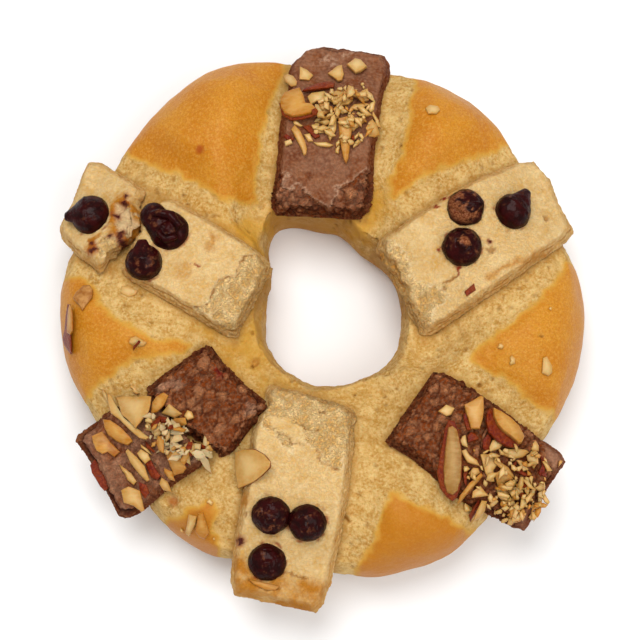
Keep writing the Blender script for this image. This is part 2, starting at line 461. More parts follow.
def lumps(points, size, seed=0):
    """Distance to the nearest and next nearest of scattered spots, as shares of a size, and
    the nearest spot's random number from 0 to 1."""
    spots = points / size
    cell = np.floor(spots).astype(np.int64)
    nearest = np.full(len(points), 9.0)
    second = np.full(len(points), 9.0)
    number = np.zeros(len(points))
    for step in np.ndindex(3, 3, 3):
        other = cell + np.array(step) - 1
        code = scramble(other, seed)
        shift = np.stack([(code >> bits & 255) / 255.0 for bits in (0, 8, 16)], axis=1)
        gap = np.linalg.norm(other + shift - spots, axis=1)
        closer = gap < nearest
        second = np.where(closer, nearest, np.minimum(second, gap))
        number = np.where(closer, (code & 1023) / 1023.0, number)
        nearest = np.minimum(nearest, gap)
    return nearest, second, number


def ramp(value, low, high):
    """Eased share of the way from low to high."""
    share = np.clip((value - low) / (high - low), 0.0, 1.0)
    return share * share * (3.0 - 2.0 * share)


def mound(x, y, at_x, at_y, reach):
    """A round bump that is 1 in its middle."""
    return np.exp(-((x - at_x) ** 2 + (y - at_y) ** 2) / reach**2)


def inside(x, y, points):
    """Distance inside a closed outline, negative outside it."""
    spots = np.stack([x, y], axis=1)
    best = np.full(len(x), 1e9)
    within = np.zeros(len(x), bool)
    for first, second in zip(points, np.roll(points, -1, axis=0)):
        best = np.minimum(best, line_gap(spots, first, second))
        crosses = (first[1] > y) != (second[1] > y)
        rise = second[1] - first[1] if second[1] != first[1] else 1e-9
        within ^= crosses & (x < first[0] + (y - first[1]) * (second[0] - first[0]) / rise)
    return np.where(within, best, -best)


def line_gap(spots, first, second):
    """Distance from spots to a straight line between two points."""
    run = second - first
    share = np.clip(((spots - first) @ run) / max(float(run @ run), 1e-9), 0.0, 1.0)
    return np.linalg.norm(spots - first - share[:, None] * run, axis=1)


def path_gap(x, y, points):
    """Distance to an open path."""
    spots = np.stack([x, y], axis=1)
    gaps = [line_gap(spots, first, second) for first, second in zip(points, points[1:])]
    return np.min(gaps, axis=0)


# ------------------------------------------------ the ring's and the slabs' surfaces
def ring_sizes(theta):
    """Outer radius, hole radius and crest height at angles in radians."""
    angles = np.radians(RING_STATIONS[:, 0])
    wrapped = angles[0] + np.mod(np.asarray(theta, float) - angles[0], TURN)
    ends = np.append(angles, angles[0] + TURN)
    index = np.clip(np.searchsorted(ends, wrapped, side="right") - 1, 0, len(angles) - 1)
    share = ramp(wrapped, ends[index], ends[index + 1])
    sizes = []
    for values in RING_STATIONS[:, 1:].T:
        following = np.roll(values, -1)
        sizes.append(values[index] + (following[index] - values[index]) * share)
    return sizes


def dome_height(x, y):
    """Height of the dough's upper side before the slabs press it."""
    outer, hole, crest = ring_sizes(np.arctan2(y, x))
    crest_radius = hole + CREST_SHARE * (outer - hole)
    radius = np.hypot(x, y)
    outward = radius > crest_radius
    reach = np.where(outward, outer - crest_radius, crest_radius - hole)
    power = np.where(outward, OUTER_DOME_POWER, HOLE_DOME_POWER)
    waist = np.where(outward, OUTER_WAIST_HEIGHT, HOLE_WAIST_HEIGHT)
    share = np.clip(np.abs(radius - crest_radius) / reach, 0.0, 1.0)
    return waist + (crest - waist) * (1.0 - share**power) ** (1.0 / power)


def slab_axes(slab):
    """Unit vectors along a slab and to its left."""
    angle = math.radians(slab.angle)
    return (np.array([math.cos(angle), math.sin(angle)]),
            np.array([-math.sin(angle), math.cos(angle)]))


def slab_underside(slab, distance):
    """Height of a slab's underside at distances along it."""
    along, left = slab_axes(slab)
    path = np.linspace(slab.start - SLAB_PATH_MARGIN, slab.end + SLAB_PATH_MARGIN, SLAB_PATH_STEPS)
    x = path * along[0] + slab.offset * left[0]
    y = path * along[1] + slab.offset * left[1]
    height = dome_height(x, y) - slab.sink
    slope = np.clip(np.gradient(height, path), -SLAB_OUTER_SLOPE, SLAB_INNER_SLOPE)
    crest = int(np.argmax(height))
    rise = np.concatenate(([0.0], np.cumsum(0.5 * (slope[1:] + slope[:-1]) * np.diff(path))))
    return np.interp(distance, path, height[crest] + rise - rise[crest])


def slab_local(slab, x, y):
    """Distance along a slab and to the left of its centre line."""
    along, left = slab_axes(slab)
    return x * along[0] + y * along[1], x * left[0] + y * left[1] - slab.offset


def slab_top(slab, x, y):
    """Height of a slab's upper side."""
    return slab_underside(slab, slab_local(slab, x, y)[0]) + slab.thickness


def slab_gap(slab, x, y):
    """Distance outside a slab's foot, negative under it."""
    distance, across = slab_local(slab, x, y)
    middle = 0.5 * (slab.start + slab.end)
    share = (distance - slab.start) / (slab.end - slab.start)
    skew = slab.start_skew + (slab.end_skew - slab.start_skew) * np.clip(share, 0.0, 1.0)
    bulge = slab.middle_width - 0.5 * (slab.start_width + slab.end_width)
    width = slab.start_width + (slab.end_width - slab.start_width) * np.clip(share, 0.0, 1.0)
    width = width + bulge * 4.0 * np.clip(share * (1.0 - share), 0.0, 1.0)
    level = distance - skew * across / width
    over_end = np.abs(level - middle) - 0.5 * (slab.end - slab.start)
    over_side = np.abs(across) - 0.5 * width
    outside = np.hypot(np.maximum(over_end, 0.0), np.maximum(over_side, 0.0))
    return outside + np.minimum(np.maximum(over_end, over_side), 0.0)


def trough_height(x, y, height):
    """Lowers a height where a slab presses into the dough."""
    for slab in SLABS:
        distance, across = slab_local(slab, x, y)
        half = 0.5 * max(slab.start_width, slab.middle_width, slab.end_width) + TROUGH_MARGIN
        skew = 0.5 * max(abs(slab.start_skew), abs(slab.end_skew))
        sideways = 1.0 - ramp(np.abs(across), half + TROUGH_SIDE_START, half + TROUGH_SIDE_END)
        before = 1.0 - ramp(slab.start - skew - TROUGH_MARGIN - distance, 0.0, TROUGH_RISE)
        floor = slab_underside(slab, distance) - TROUGH_CLEARANCE
        height = height - sideways * before * np.maximum(height - floor, 0.0)
    return height


# ------------------------------------------------ making meshes
def add_object(name, data):
    """A new object in the scene."""
    made = bpy.data.objects.new(name, data)
    bpy.context.scene.collection.objects.link(made)
    return made


def make_piece(name, points, faces, materials, masks):
    """A piece from points in millimetres, with its masks, riding on the object."""
    mesh = bpy.data.meshes.new(name)
    mesh.from_pydata(((np.asarray(points) + CENTRE) * MM).tolist(), [], faces)
    for key, values in masks.items():
        layer = mesh.attributes.new(key, "FLOAT", "POINT")
        layer.data.foreach_set("value", np.asarray(values, np.float32))
    for item in materials:
        mesh.materials.append(item)
    mesh.shade_smooth()
    mesh.update()
    piece = add_object(name, mesh)
    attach(piece, "root")
    return piece


def joined(parts):
    """Points and faces of several parts as one."""
    points, faces = [], []
    for some_points, some_faces in parts:
        start = len(points)
        points += np.asarray(some_points).tolist()
        faces += [tuple(start + corner for corner in face) for face in some_faces]
    return points, faces


def remeshed(mesh, voxel):
    """Points, normals and faces of a mesh rebuilt from even cells of a size in millimetres."""
    holder = add_object("rebuild", mesh)
    change = holder.modifiers.new("cells", "REMESH")
    change.mode = "VOXEL"
    change.voxel_size = voxel * MM
    rebuilt = bpy.data.meshes.new_from_object(
        holder.evaluated_get(bpy.context.evaluated_depsgraph_get()))
    points = np.empty(len(rebuilt.vertices) * 3)
    normals = np.empty(len(rebuilt.vertices) * 3)
    rebuilt.vertices.foreach_get("co", points)
    rebuilt.vertex_normals.foreach_get("vector", normals)
    faces = [tuple(polygon.vertices) for polygon in rebuilt.polygons]
    bpy.data.objects.remove(holder)
    bpy.data.meshes.remove(rebuilt)
    return points.reshape(-1, 3) / MM - CENTRE, normals.reshape(-1, 3), faces


def smoothed(points, faces, rounds):
    """Points eased towards their neighbours."""
    corners = np.array(faces)
    pairs = np.concatenate([corners[:, [i, (i + 1) % 4]] for i in range(4)])
    count = np.bincount(pairs[:, 0], minlength=len(points))
    for _ in range(rounds):
        total = np.zeros_like(points)
        np.add.at(total, pairs[:, 0], points[pairs[:, 1]])
        points = 0.5 * points + 0.5 * total / np.maximum(count, 1)[:, None]
    return points


# ------------------------------------------------ materials
# How much brighter than its own colour a level surface looks, and the sheen that is added.
BRIGHTNESS = 1.2
SHEEN = 0.02
PLAIN_SPECULAR = 0.2


def linear(colour):
    """An 8-bit sRGB colour, as it is to be seen in this light, as linear values with alpha."""
    shares = [channel / 255.0 for channel in colour]
    lit = [s / 12.92 if s <= 0.04045 else ((s + 0.055) / 1.055) ** 2.4 for s in shares]
    return tuple(max((s - SHEEN) / BRIGHTNESS, 0.002) for s in lit) + (1.0,)


class Number:
    """A number in a material's node tree, with the sums that make new numbers."""

    def __init__(self, paint, socket):
        self.paint, self.socket = paint, socket

    def __mul__(self, other):
        return self.paint.sum("MULTIPLY", self, other)

    def __add__(self, other):
        return self.paint.sum("ADD", self, other)

    def __sub__(self, other):
        return self.paint.sum("SUBTRACT", self, other)

    def __rsub__(self, other):
        return self.paint.sum("SUBTRACT", other, self)


class Paint:
    """A material's node tree, built one step at a time."""

    def __init__(self, name, roughness, shades=None, **settings):
        self.shades = shades
        self.material = bpy.data.materials.new(name)
        self.material.use_nodes = True
        self.tree = self.material.node_tree
        self.shader = self.tree.nodes["Principled BSDF"]
        self.fill(self.shader, {"Roughness": roughness, "Specular IOR Level": PLAIN_SPECULAR})
        self.fill(self.shader, {key.replace("_", " "): value for key, value in settings.items()})
        self.place = self.node("TexCoord", "Object", {})

    def fill(self, node, inputs):
        """Links or sets a node's inputs; a word is the name of one of the shades."""
        for key, value in inputs.items():
            if isinstance(value, Number):
                self.tree.links.new(value.socket, node.inputs[key])
            elif isinstance(value, str):
                node.inputs[key].default_value = linear(self.shades[value])
            else:
                node.inputs[key].default_value = value

    def node(self, kind, output, inputs, **settings):
        """A new node's output."""
        made = self.tree.nodes.new("ShaderNode" + kind)
        for key, value in settings.items():
            setattr(made, key, value)
        self.fill(made, inputs)
        return Number(self, made.outputs[output])

    def mask(self, name):
        """A mask stored on the mesh."""
        return self.node("Attribute", "Fac", {}, attribute_name=name)

    def noise(self, size, detail=3.0, rough=0.55, low=0.3, high=0.7, stretch=None, warp=0.0):
        """Noise with features of a size in millimetres, spread from 0 to 1."""
        place = self.place
        if stretch:
            place = self.node("Mapping", "Vector", {"Scale": stretch, "Vector": place})
        made = self.node("TexNoise", "Fac", {"Vector": place, "Scale": 1.0 / (size * MM),
                         "Detail": detail, "Roughness": rough, "Distortion": warp})
        return self.span(made, low, high)

    def cells(self, size, low, high):
        """Cell pattern with cells of a size in millimetres."""
        made = self.node("TexVoronoi", "Distance",
                         {"Vector": self.place, "Scale": 1.0 / (size * MM)}, feature="F1")
        return self.span(made, low, high)

    def span(self, value, low, high):
        """A value spread so that low becomes 0 and high becomes 1."""
        return self.node("MapRange", "Result", {"Value": value, "From Min": low, "From Max": high},
                         interpolation_type="SMOOTHSTEP")

    def sum(self, kind, first, second):
        """Two values put together by a kind of sum."""
        return self.node("Math", 0, {0: first, 1: second}, operation=kind)

    def mix(self, share, first, second):
        """A colour a share of the way from the first to the second."""
        return self.node("Mix", 2, {0: share, 6: first, 7: second}, data_type="RGBA")

    def layers(self, colour, *coats):
        """A colour under coats, each a share and a colour."""
        for share, coat in coats:
            colour = self.mix(share, colour, coat)
        return colour

    def shade(self, share, name):
        """A colour a share of the way from a shade to its lighter one."""
        return self.mix(share, name, name + "_light")

    def marks(self, colour, names):
        """A colour under marks whose masks and shades have the same names."""
        return self.layers(colour, *[(self.mask(name), name) for name in names.split()])

    def finish(self, colour, bumps, **inputs):
        """Sets the colour and lays bumps, each a height and its depth in millimetres."""
        inputs["Normal"] = None
        for height, depth in bumps:
            bump = {"Strength": 1.0, "Distance": depth * MM, "Height": height}
            if inputs["Normal"]:
                bump["Normal"] = inputs["Normal"]
            inputs["Normal"] = self.node("Bump", "Normal", bump)
        self.fill(self.shader, {"Base Color": colour, **inputs})
        return self.material


# 8-bit sRGB colours as they are seen, and for the pastes also how strong their grain, flecks
# and grit are.
DOUGH = {
    "crust": (205, 130, 34), "crust_light": (214, 146, 52), "crust_fleck": (228, 168, 82),
    "crust_grain": (186, 112, 26), "baked": (192, 120, 18), "washed": (222, 168, 76),
    "crumb": (200, 150, 76), "crumb_light": (229, 188, 118), "crumb_fleck": (244, 214, 152),
    "pore": (176, 126, 60), "fibre": (186, 138, 70), "yellow": (203, 144, 50),
    "yellow_light": (216, 164, 74), "low": (178, 118, 52), "low_light": (200, 146, 72),
    "crease": (186, 136, 70), "rust": (178, 92, 20), "pit": (140, 92, 42),
}
COCOA = {
    "crust": (106, 56, 30), "crust_light": (156, 100, 68), "crust_fleck": (188, 136, 104),
    "crumb": (140, 72, 36), "crumb_light": (206, 140, 96), "crumb_fleck": (214, 154, 116),
    "side": (116, 62, 36), "side_light": (164, 106, 72), "line": (78, 32, 16),
    "browned": (124, 72, 40), "light": (204, 160, 130), "stain": (150, 22, 10),
    "crack": (60, 22, 10), "grain": 0.34, "fleck": 0.62, "choc": (60, 20, 10),
    "flesh": (158, 98, 64), "grit": 0.3, "grit_depth": 0.14, "gloss": 0.1,
}
CREAM = {
    "crust": (218, 168, 92), "crust_light": (244, 208, 146), "crust_fleck": (252, 226, 174),
    "crumb": (226, 176, 104), "crumb_light": (248, 210, 146), "crumb_fleck": (252, 224, 168),
    "side": (216, 166, 96), "side_light": (242, 204, 140), "line": (188, 130, 66),
    "browned": (196, 128, 48), "light": (254, 232, 186), "stain": (150, 58, 20),
    "crack": (160, 104, 50), "grain": 0.2, "fleck": 0.5, "choc": (84, 22, 12),
    "flesh": (228, 194, 146), "grit": 0.12, "grit_depth": 0.05, "gloss": 0.2,
}
CHOCOLATE = {
    "dark": (50, 25, 18), "dark_light": (67, 31, 20),
    "rubbed": (104, 54, 36), "rubbed_light": (170, 112, 78),
}
CHOCOLATE_TINT = (1.0, 0.55, 0.45, 1.0)
ALMOND = {
    "pale": (206, 158, 86), "pale_light": (230, 194, 132), "toasted": (188, 120, 42),
    "toasted_light": (214, 156, 78), "white": (216, 192, 148), "dull": (158, 110, 54),
    "dull_light": (188, 146, 88), "caramel": (172, 104, 30), "caramel_light": (212, 152, 72),
    "streak": (236, 204, 142), "edge": (156, 98, 44), "skin": (108, 36, 12),
    "skin_light": (150, 66, 22), "skin_cloud": (160, 84, 32), "rubbed": (160, 100, 48),
    "rubbed_light": (206, 150, 88),
}


def dough_material():
    """Baked dough: a washed golden crust on the lobes, pale open crumb beside the slabs."""
    paint = Paint("baked_dough", 0.5, DOUGH, Subsurface_Weight=0.12, Subsurface_Scale=0.0015)
    blotch = paint.noise(11.0)
    fleck = paint.noise(0.9, 4.0, 0.65, 0.42, 0.68)
    grain = paint.noise(0.5, 3.0, 0.65, 0.42, 0.66)
    patchy = paint.noise(4.5, 4.0, 0.6)
    pores = paint.noise(0.9, 3.0, 0.6, 0.44, 0.32)
    crust = paint.layers(paint.shade(blotch, "crust"), (fleck * 0.6, "crust_fleck"),
                         (grain * 0.5, "crust_grain"), (paint.mask("baked") * 0.6, "baked"))
    crumb = paint.layers(paint.shade(patchy, "crumb"), (fleck * 0.6, "crumb_fleck"),
                         (pores * 0.6, "pore"), (paint.mask("fibre") * 0.4, "fibre"),
                         (paint.mask("yellow"), paint.shade(blotch, "yellow")))
    ragged = paint.noise(1.8, 4.0, 0.65, 0.0, 1.0) * 0.3 + paint.mask("gold")
    solid = paint.span(ragged, 0.48, 0.98)
    colour = paint.layers(crumb, (paint.span(ragged, 0.22, 0.66), "washed"), (solid, crust),
                          (paint.mask("crease"), "crease"),
                          (paint.mask("low"), paint.shade(fleck, "low")))
    soft = paint.noise(0.9, 4.0, 0.65, 0.25, 0.75) * (1.0 - solid * 0.75)
    return paint.finish(paint.marks(colour, "rust pit"),
                        [(soft, 0.16), (grain, 0.03), (blotch, 0.3)],
                        Roughness=0.78 - solid * 0.3)


def paste_material(name, shades):
    """Sugar paste: a smooth thin crust, a lumpy crumb under it, and layered sides."""
    paint = Paint(name, 0.72, shades, Subsurface_Weight=0.1, Subsurface_Scale=0.0012,
                  Specular_IOR_Level=shades["gloss"])
    blotch = paint.noise(6.0, 4.0)
    fleck = paint.noise(0.9, 4.0, 0.65, 0.4, 0.66)
    grain = paint.noise(0.45, 3.0, 0.65, 0.42, 0.66)
    patchy = paint.noise(2.4, 4.0, 0.6, 0.35, 0.65, warp=0.6)
    grit = paint.cells(0.8, 0.15, 0.62)
    rough = paint.mask("rough")
    crust = paint.layers(paint.shade(blotch * 0.55 + patchy * 0.45, "crust"),
                         (fleck * shades["fleck"], "crust_fleck"))
    crumb = paint.layers(paint.shade(paint.mask("lump") - grit * shades["grit"], "crumb"),
                         (fleck * 0.5, "crumb_fleck"))
    browned = paint.mask("browned") * paint.span(blotch, -0.4, 0.9)
    colour = paint.layers(crust, (rough, crumb), (paint.mask("side"), paint.shade(fleck, "side")),
                          (paint.mask("line"), "line"), (browned, "browned"))
    colour = paint.marks(colour, "flesh light stain crack choc")
    colour = paint.mix(grain * shades["grain"], colour, "crack")
    gritty = grit * (rough * -1.0)
    crumbly = fleck * (rough + 0.5)
    return paint.finish(colour, [(gritty, shades["grit_depth"]), (crumbly, 0.12), (grain, 0.05)])


def chocolate_material():
    """Dark chocolate with a soft sheen, rubbed paler in places."""
    paint = Paint("dark_chocolate", 0.3, CHOCOLATE, Specular_IOR_Level=0.04, Coat_Weight=0.1,
                  Coat_Roughness=0.16, Specular_Tint=CHOCOLATE_TINT)
    cloud = paint.noise(2.6, 4.0, 0.6)
    grain = paint.noise(0.5, 3.0, 0.6)
    rubbed = paint.shade(grain, "rubbed")
    colour = paint.layers(paint.shade(cloud, "dark"), (paint.mask("rub"), rubbed))
    return paint.finish(colour, [(cloud, 0.12), (grain, 0.05)], Roughness=cloud * 0.2 + 0.15)


def almond_material():
    """Almond flesh, from white to toasted: paler in its middle, browner along its cut edges."""
    paint = Paint("almond_flesh", 0.38, ALMOND, Subsurface_Weight=0.25, Subsurface_Scale=0.002)
    cloud = paint.noise(4.0, 2.0, 0.5)
    streak = paint.noise(0.9, 3.0, 0.6, stretch=(0.35, 1.0, 1.0))
    core = paint.span(paint.mask("core") * 0.85 + cloud * 0.35, 0.05, 1.0)
    tone = paint.mask("tone")
    colour = paint.layers(paint.shade(core, "pale"),
                          (paint.span(tone, 0.2, 1.0), paint.shade(core, "toasted")),
                          (paint.span(tone, 0.1, -0.2), "white"),
                          (paint.mask("dull"), paint.shade(core, "dull")),
                          (paint.mask("caramel"), paint.shade(cloud, "caramel")),
                          (streak * 0.2, "streak"), (paint.mask("edge") * 0.32, "edge"))
    return paint.finish(colour, [(streak, 0.04), (cloud, 0.08)])


def skin_material():
    """Almond skin: red-brown, wrinkled and a little glossy."""
    paint = Paint("almond_skin", 0.35, ALMOND)
    streak = paint.noise(0.9, 4.0, 0.6)
    colour = paint.layers(paint.shade(streak, "skin"), (paint.noise(3.0) * 0.4, "skin_cloud"))
    return paint.finish(colour, [(streak, 0.2)])


def rubbed_skin_material():
    """Almond skin that is rubbed thin, so that the flesh shows through it."""
    paint = Paint("almond_rubbed_skin", 0.4, ALMOND)
    cloud = paint.noise(2.4, 4.0, 0.6)
    return paint.finish(paint.shade(cloud, "rubbed"), [(cloud, 0.2)])


# ------------------------------------------------ the ring of dough
RING_TURNS = 640
OUTER_DOME_STEPS = 58
HOLE_DOME_STEPS = 50
OUTER_FOOT_STEPS = 10
HOLE_FOOT_STEPS = 8
BASE_STEPS = 5
# A usual reach and rise of each dome, along which its points are spaced evenly.
OUTER_DOME_SPAN = (30.0, 25.0)
HOLE_DOME_SPAN = (26.0, 30.0)
CREST_LEVEL = 36.0
GOLD_FADE = 2.6
PORE_SIZE = 2.3
PORE_REACH = 0.42
FIBRE_LENGTH, FIBRE_WIDTH = 7.0, 1.7
# Where things fade in or out: heights, distances from a slab, radii, and distances to the front.
ABOVE_FOOT = (4.0, 12.0)
BESIDE_SLABS = (6.0, 12.0)
UNDER_SLABS = (0.5, 2.0)
HOLE_WALL = (34.0, 44.0)
BAKED_FRONT = (35.0, 65.0)
LOW_BAND = (1.0, 13.0)
# Dimples and stains: x, y, radius, depth, and how much it is stained.
DOUGH_SPOTS = (
    (-36.6, 44.6, 1.5, 0.3, 1.0), (-20.4, -16.8, 1.6, 1.2, 0.3),
    (-44.2, -58.5, 1.9, 0.9, 0.7), (-20.4, -16.8, 0.9, 0.5, 0.0),
)
# Small dark pits: x, y and radius.
DOUGH_PITS = (
    (22.8, 47.0, 0.7), (-52.8, 20.8, 0.6), (63.1, -11.1, 0.6), (45.1, -25.1, 0.9),
    (-41.8, 32.3, 0.7), (9.1, -26.8, 0.5), (-40.4, 29.5, 0.6), (47.3, -24.4, 0.5),
    (6.3, -63.5, 0.9), (5.6, -62.8, 0.7), (-21.2, -17.9, 0.8), (7.1, -64.3, 0.6),
)


def even_turns(power, span, steps):
    """Angles of a superellipse's quarter that are evenly spaced along it."""
    fine = np.linspace(0.0, 0.5 * math.pi, 500)
    run = span[0] * np.cos(fine) ** (2.0 / power)
    climb = span[1] * np.sin(fine) ** (2.0 / power)
    length = np.concatenate(([0.0], np.cumsum(np.hypot(np.diff(run), np.diff(climb)))))
    return np.interp(np.linspace(0.0, length[-1], steps + 1)[:-1], length, fine)


def ring_grid():
    """Points round the ring, by turn and by place on its section."""
    theta = np.arange(RING_TURNS) * (TURN / RING_TURNS)
    outer, hole, crest = [sizes[:, None] for sizes in ring_sizes(theta)]
    crest_radius = hole + CREST_SHARE * (outer - hole)

    def dome(edge, waist, power, turn):
        return (crest_radius + (edge - crest_radius) * np.cos(turn) ** (2.0 / power),
                waist + (crest - waist) * np.sin(turn) ** (2.0 / power))

    def foot(edge, tuck, waist, steps, order):
        turn = np.arange(1, steps)[::order] * (0.5 * math.pi / steps)
        return edge + tuck * (1.0 - np.cos(turn)), waist * (1.0 - np.sin(turn)) + 0.0 * edge

    outer_turn = even_turns(OUTER_DOME_POWER, OUTER_DOME_SPAN, OUTER_DOME_STEPS)
    hole_turn = even_turns(HOLE_DOME_POWER, HOLE_DOME_SPAN, HOLE_DOME_STEPS)[::-1]
    across = np.arange(BASE_STEPS + 1) / BASE_STEPS
    inner_foot, outer_foot = hole + HOLE_FOOT_TUCK, outer - OUTER_FOOT_TUCK
    radius, height = [np.concatenate(parts, axis=1) for parts in zip(
        dome(outer, OUTER_WAIST_HEIGHT, OUTER_DOME_POWER, outer_turn),
        dome(hole, HOLE_WAIST_HEIGHT, HOLE_DOME_POWER, hole_turn),
        foot(hole, HOLE_FOOT_TUCK, HOLE_WAIST_HEIGHT, HOLE_FOOT_STEPS, 1),
        (inner_foot + (outer_foot - inner_foot) * across, 0.0 * (across + hole)),
        foot(outer, -OUTER_FOOT_TUCK, OUTER_WAIST_HEIGHT, OUTER_FOOT_STEPS, -1))]
    x = radius * np.cos(theta)[:, None]
    y = radius * np.sin(theta)[:, None]
    upper = OUTER_DOME_STEPS + HOLE_DOME_STEPS
    pressed = trough_height(x[:, :upper].ravel(), y[:, :upper].ravel(), height[:, :upper].ravel())
    height[:, :upper] = pressed.reshape(RING_TURNS, upper)
    return np.stack([x, y, height], axis=2)


def grid_normals(grid):
    """Unit normals of the ring's points, outwards."""
    along, across = [np.roll(grid, -1, axis=axis) - np.roll(grid, 1, axis=axis) for axis in (0, 1)]
    normals = np.cross(along, across).reshape(-1, 3)
    normals /= np.maximum(np.linalg.norm(normals, axis=1), 1e-9)[:, None]
    crest = grid.reshape(-1, 3)[:, 2] > CREST_LEVEL
    return normals * np.sign(normals[crest, 2].mean())


def gold_distance(x, y):
    """Distance inside the washed golden patches, closed by points outside the ring."""
    best = np.full(len(x), FAR_OUTSIDE)
    for _, words in table_rows(GOLD_PATCHES):
        points = outline(words)
        first, last = points[0], points[-1]
        far = [last * 1.5, 0.5 * (first + last) * 1.9, first * 1.5]
        best = np.maximum(best, inside(x, y, np.concatenate([points, far])))
    return best


def slabs_near(x, y):
    """Distance outside the nearest slab's foot, and torn fibres that run away from its sides."""
    gap = np.full(len(x), -FAR_OUTSIDE)
    fibre = np.zeros(len(x))
    for slab in SLABS:
        distance, side = slab_local(slab, x, y)
        outside = slab_gap(slab, x, y)
        drawn = np.stack([distance / FIBRE_WIDTH, side / FIBRE_LENGTH,
                          0.0 * side + slab.angle], axis=1)
        fibre = np.where(outside < gap, waves(drawn, 1.0, 2, 31), fibre)
        gap = np.minimum(gap, outside)
    return gap, fibre


def build_ring():
    """The ring of dough with its crust, crumb, pores and dimples."""
    grid = ring_grid()
    normals = grid_normals(grid)
    points = grid.reshape(-1, 3)
    x, y, z = points.T
    radius = np.hypot(x, y)
    flat = np.stack([x, y, 0.0 * x], axis=1)
    gold = gold_distance(x + 0.9 * waves(flat, 4.0, 3, 5), y + 0.9 * waves(flat, 4.0, 3, 6))
    gold_share = ramp(gold, -GOLD_FADE, GOLD_FADE)
    open_crumb = 1.0 - ramp(gold, -1.5, 0.5)
    above = ramp(z, *ABOVE_FOOT)
    gap, fibre = slabs_near(x, y)
    beside = 1.0 - ramp(gap, *BESIDE_SLABS)
    inner = 1.0 - ramp(radius, *HOLE_WALL)
    left_of_hole = np.clip(0.7 + 0.4 * (y - x) / radius, 0.0, 1.0)
    nearest, _, number = lumps(points, PORE_SIZE, 9)
    pores = ramp(PORE_REACH - nearest, 0.0, 0.3) * (number > 0.45) * open_crumb * above
    push = 0.45 * waves(points, 17.0, 2, 1) + 0.10 * waves(points, 5.0, 2, 2)
    push += open_crumb * above * (0.22 * waves(points, 3.2, 3, 3) - 0.5 * pores)
    push += open_crumb * above * beside * 0.16 * fibre
    push += 0.35 * gold_share * above
    rust = np.zeros(len(x))
    for spot_x, spot_y, size, depth, stained in DOUGH_SPOTS:
        close = mound(x, y, spot_x, spot_y, size) * above
        push -= depth * close
        rust = np.maximum(rust, stained * ramp(close, 0.25, 0.8))
    pit = 0.55 * pores * (number > 0.8)
    for spot_x, spot_y, size in DOUGH_PITS:
        close = mound(x, y, spot_x, spot_y, size) * above
        push -= 0.5 * close
        pit = np.maximum(pit, ramp(close, 0.3, 0.8))
    push *= ramp(z, 0.0, 3.0)
    push *= 1.0 - ramp(-gap, *UNDER_SLABS)
    points = points + normals * push[:, None]
    masks = {
        "gold": gold_share * above,
        "fibre": ramp(fibre, 0.0, 0.9) * beside * above,
        "yellow": inner * above * ramp(waves(points, 9.0, 2, 8), -0.6, 0.6) * left_of_hole,
        "baked": ramp(-y, *BAKED_FRONT),
        "crease": 0.6 * (1.0 - ramp(gap + 0.5 * waves(points, 2.0, 2, 4), 0.1, 2.0)),
        "low": (1.0 - ramp(z, *LOW_BAND)) * 0.9,
        "rust": rust,
        "pit": pit,
    }
    index = np.arange(len(points)).reshape(grid.shape[:2])
    first = np.roll(index, -1, axis=0)
    faces = np.stack([first, np.roll(first, -1, axis=1), np.roll(index, -1, axis=1), index], axis=2)
    faces = faces.reshape(-1, 4).tolist()
    piece = make_piece("dough_ring", points, faces, [dough_material()], masks)
    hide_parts("bread_ring")
    return points, faces


# ------------------------------------------------ the slabs of sugar paste
SLAB_VOXEL = 0.42
LUMP_SIZE = 3.1
FINE_LUMP_SIZE = 1.5
SLAB_HALF_WIDTH = 13.0
# The dark lines between the layers of rolled paste: share of the thickness, and strength.
LAYER_LINES = ((0.28, 0.8), (0.56, 1.0), (0.78, 0.5))
# The slab whose outer end has split open, and the distances over which the split opens.
SPLIT_SLAB = "slab_cocoa_lower_left_outer"
SPLIT_START, SPLIT_END = 73.0, 78.0


def tugged(slab, x, y):
    """Places after a slab's edge is pulled about."""
    moved_x, moved_y = x.copy(), y.copy()
    for words in rows_of(TUGS, slab.name):
        for at_x, at_y, reach, pull_x, pull_y in outline(words):
            share = mound(x, y, at_x, at_y, reach)
            moved_x += pull_x * share
            moved_y += pull_y * share
    return moved_x, moved_y


def patch_depths(slab, x, y):
    """Distance inside a slab's patches, by kind."""
    found = {}
    for kind, *words in rows_of(PATCHES, slab.name):
        depth = inside(x, y, outline(words))
        found[kind] = np.maximum(found.get(kind, FAR_OUTSIDE), depth)
    return found


def open_crumb_shape(slab, points, warp_x, warp_y, seed):
    """How high the lumps of open crumb stand, how pale they are, and the gaps between them."""
    nearest, second, number = lumps(points + 0.55 * warp_x[:, None], LUMP_SIZE, seed + 3)
    fine_nearest, fine_second, fine_number = lumps(points + 0.5 * warp_y[:, None],
                                                   FINE_LUMP_SIZE, seed + 4)
    large = ramp(second - nearest, 0.0, 0.4) * (0.3 + 0.7 * number)
    fine = ramp(fine_second - fine_nearest, 0.0, 0.35) * (0.2 + 0.8 * fine_number)
    flakes = waves(points, 4.5, 4, seed + 15, 0.6)
    if slab.colour == "cocoa":
        return (-1.0 + 1.2 * large + 0.4 * fine + 0.25 * waves(points, 1.4, 2, seed),
                ramp(0.35 * large + 0.25 * fine + 0.6 * number + 0.15 * flakes, 0.15, 1.05),
                1.0 - ramp(second - nearest, 0.02, 0.14))
    return 0.5 * flakes + 0.2 * large - 0.1, ramp(flakes + 0.4 * large, -0.6, 0.8), 0.0 * flakes


def crack_shares(slab, x, y):
    """1 along a slab's cracks."""
    share = np.zeros(len(x))
    for words in rows_of(CRACKS, slab.name):
        share = np.maximum(share, 1.0 - ramp(path_gap(x, y, outline(words)), 0.1, 0.52))
    return share


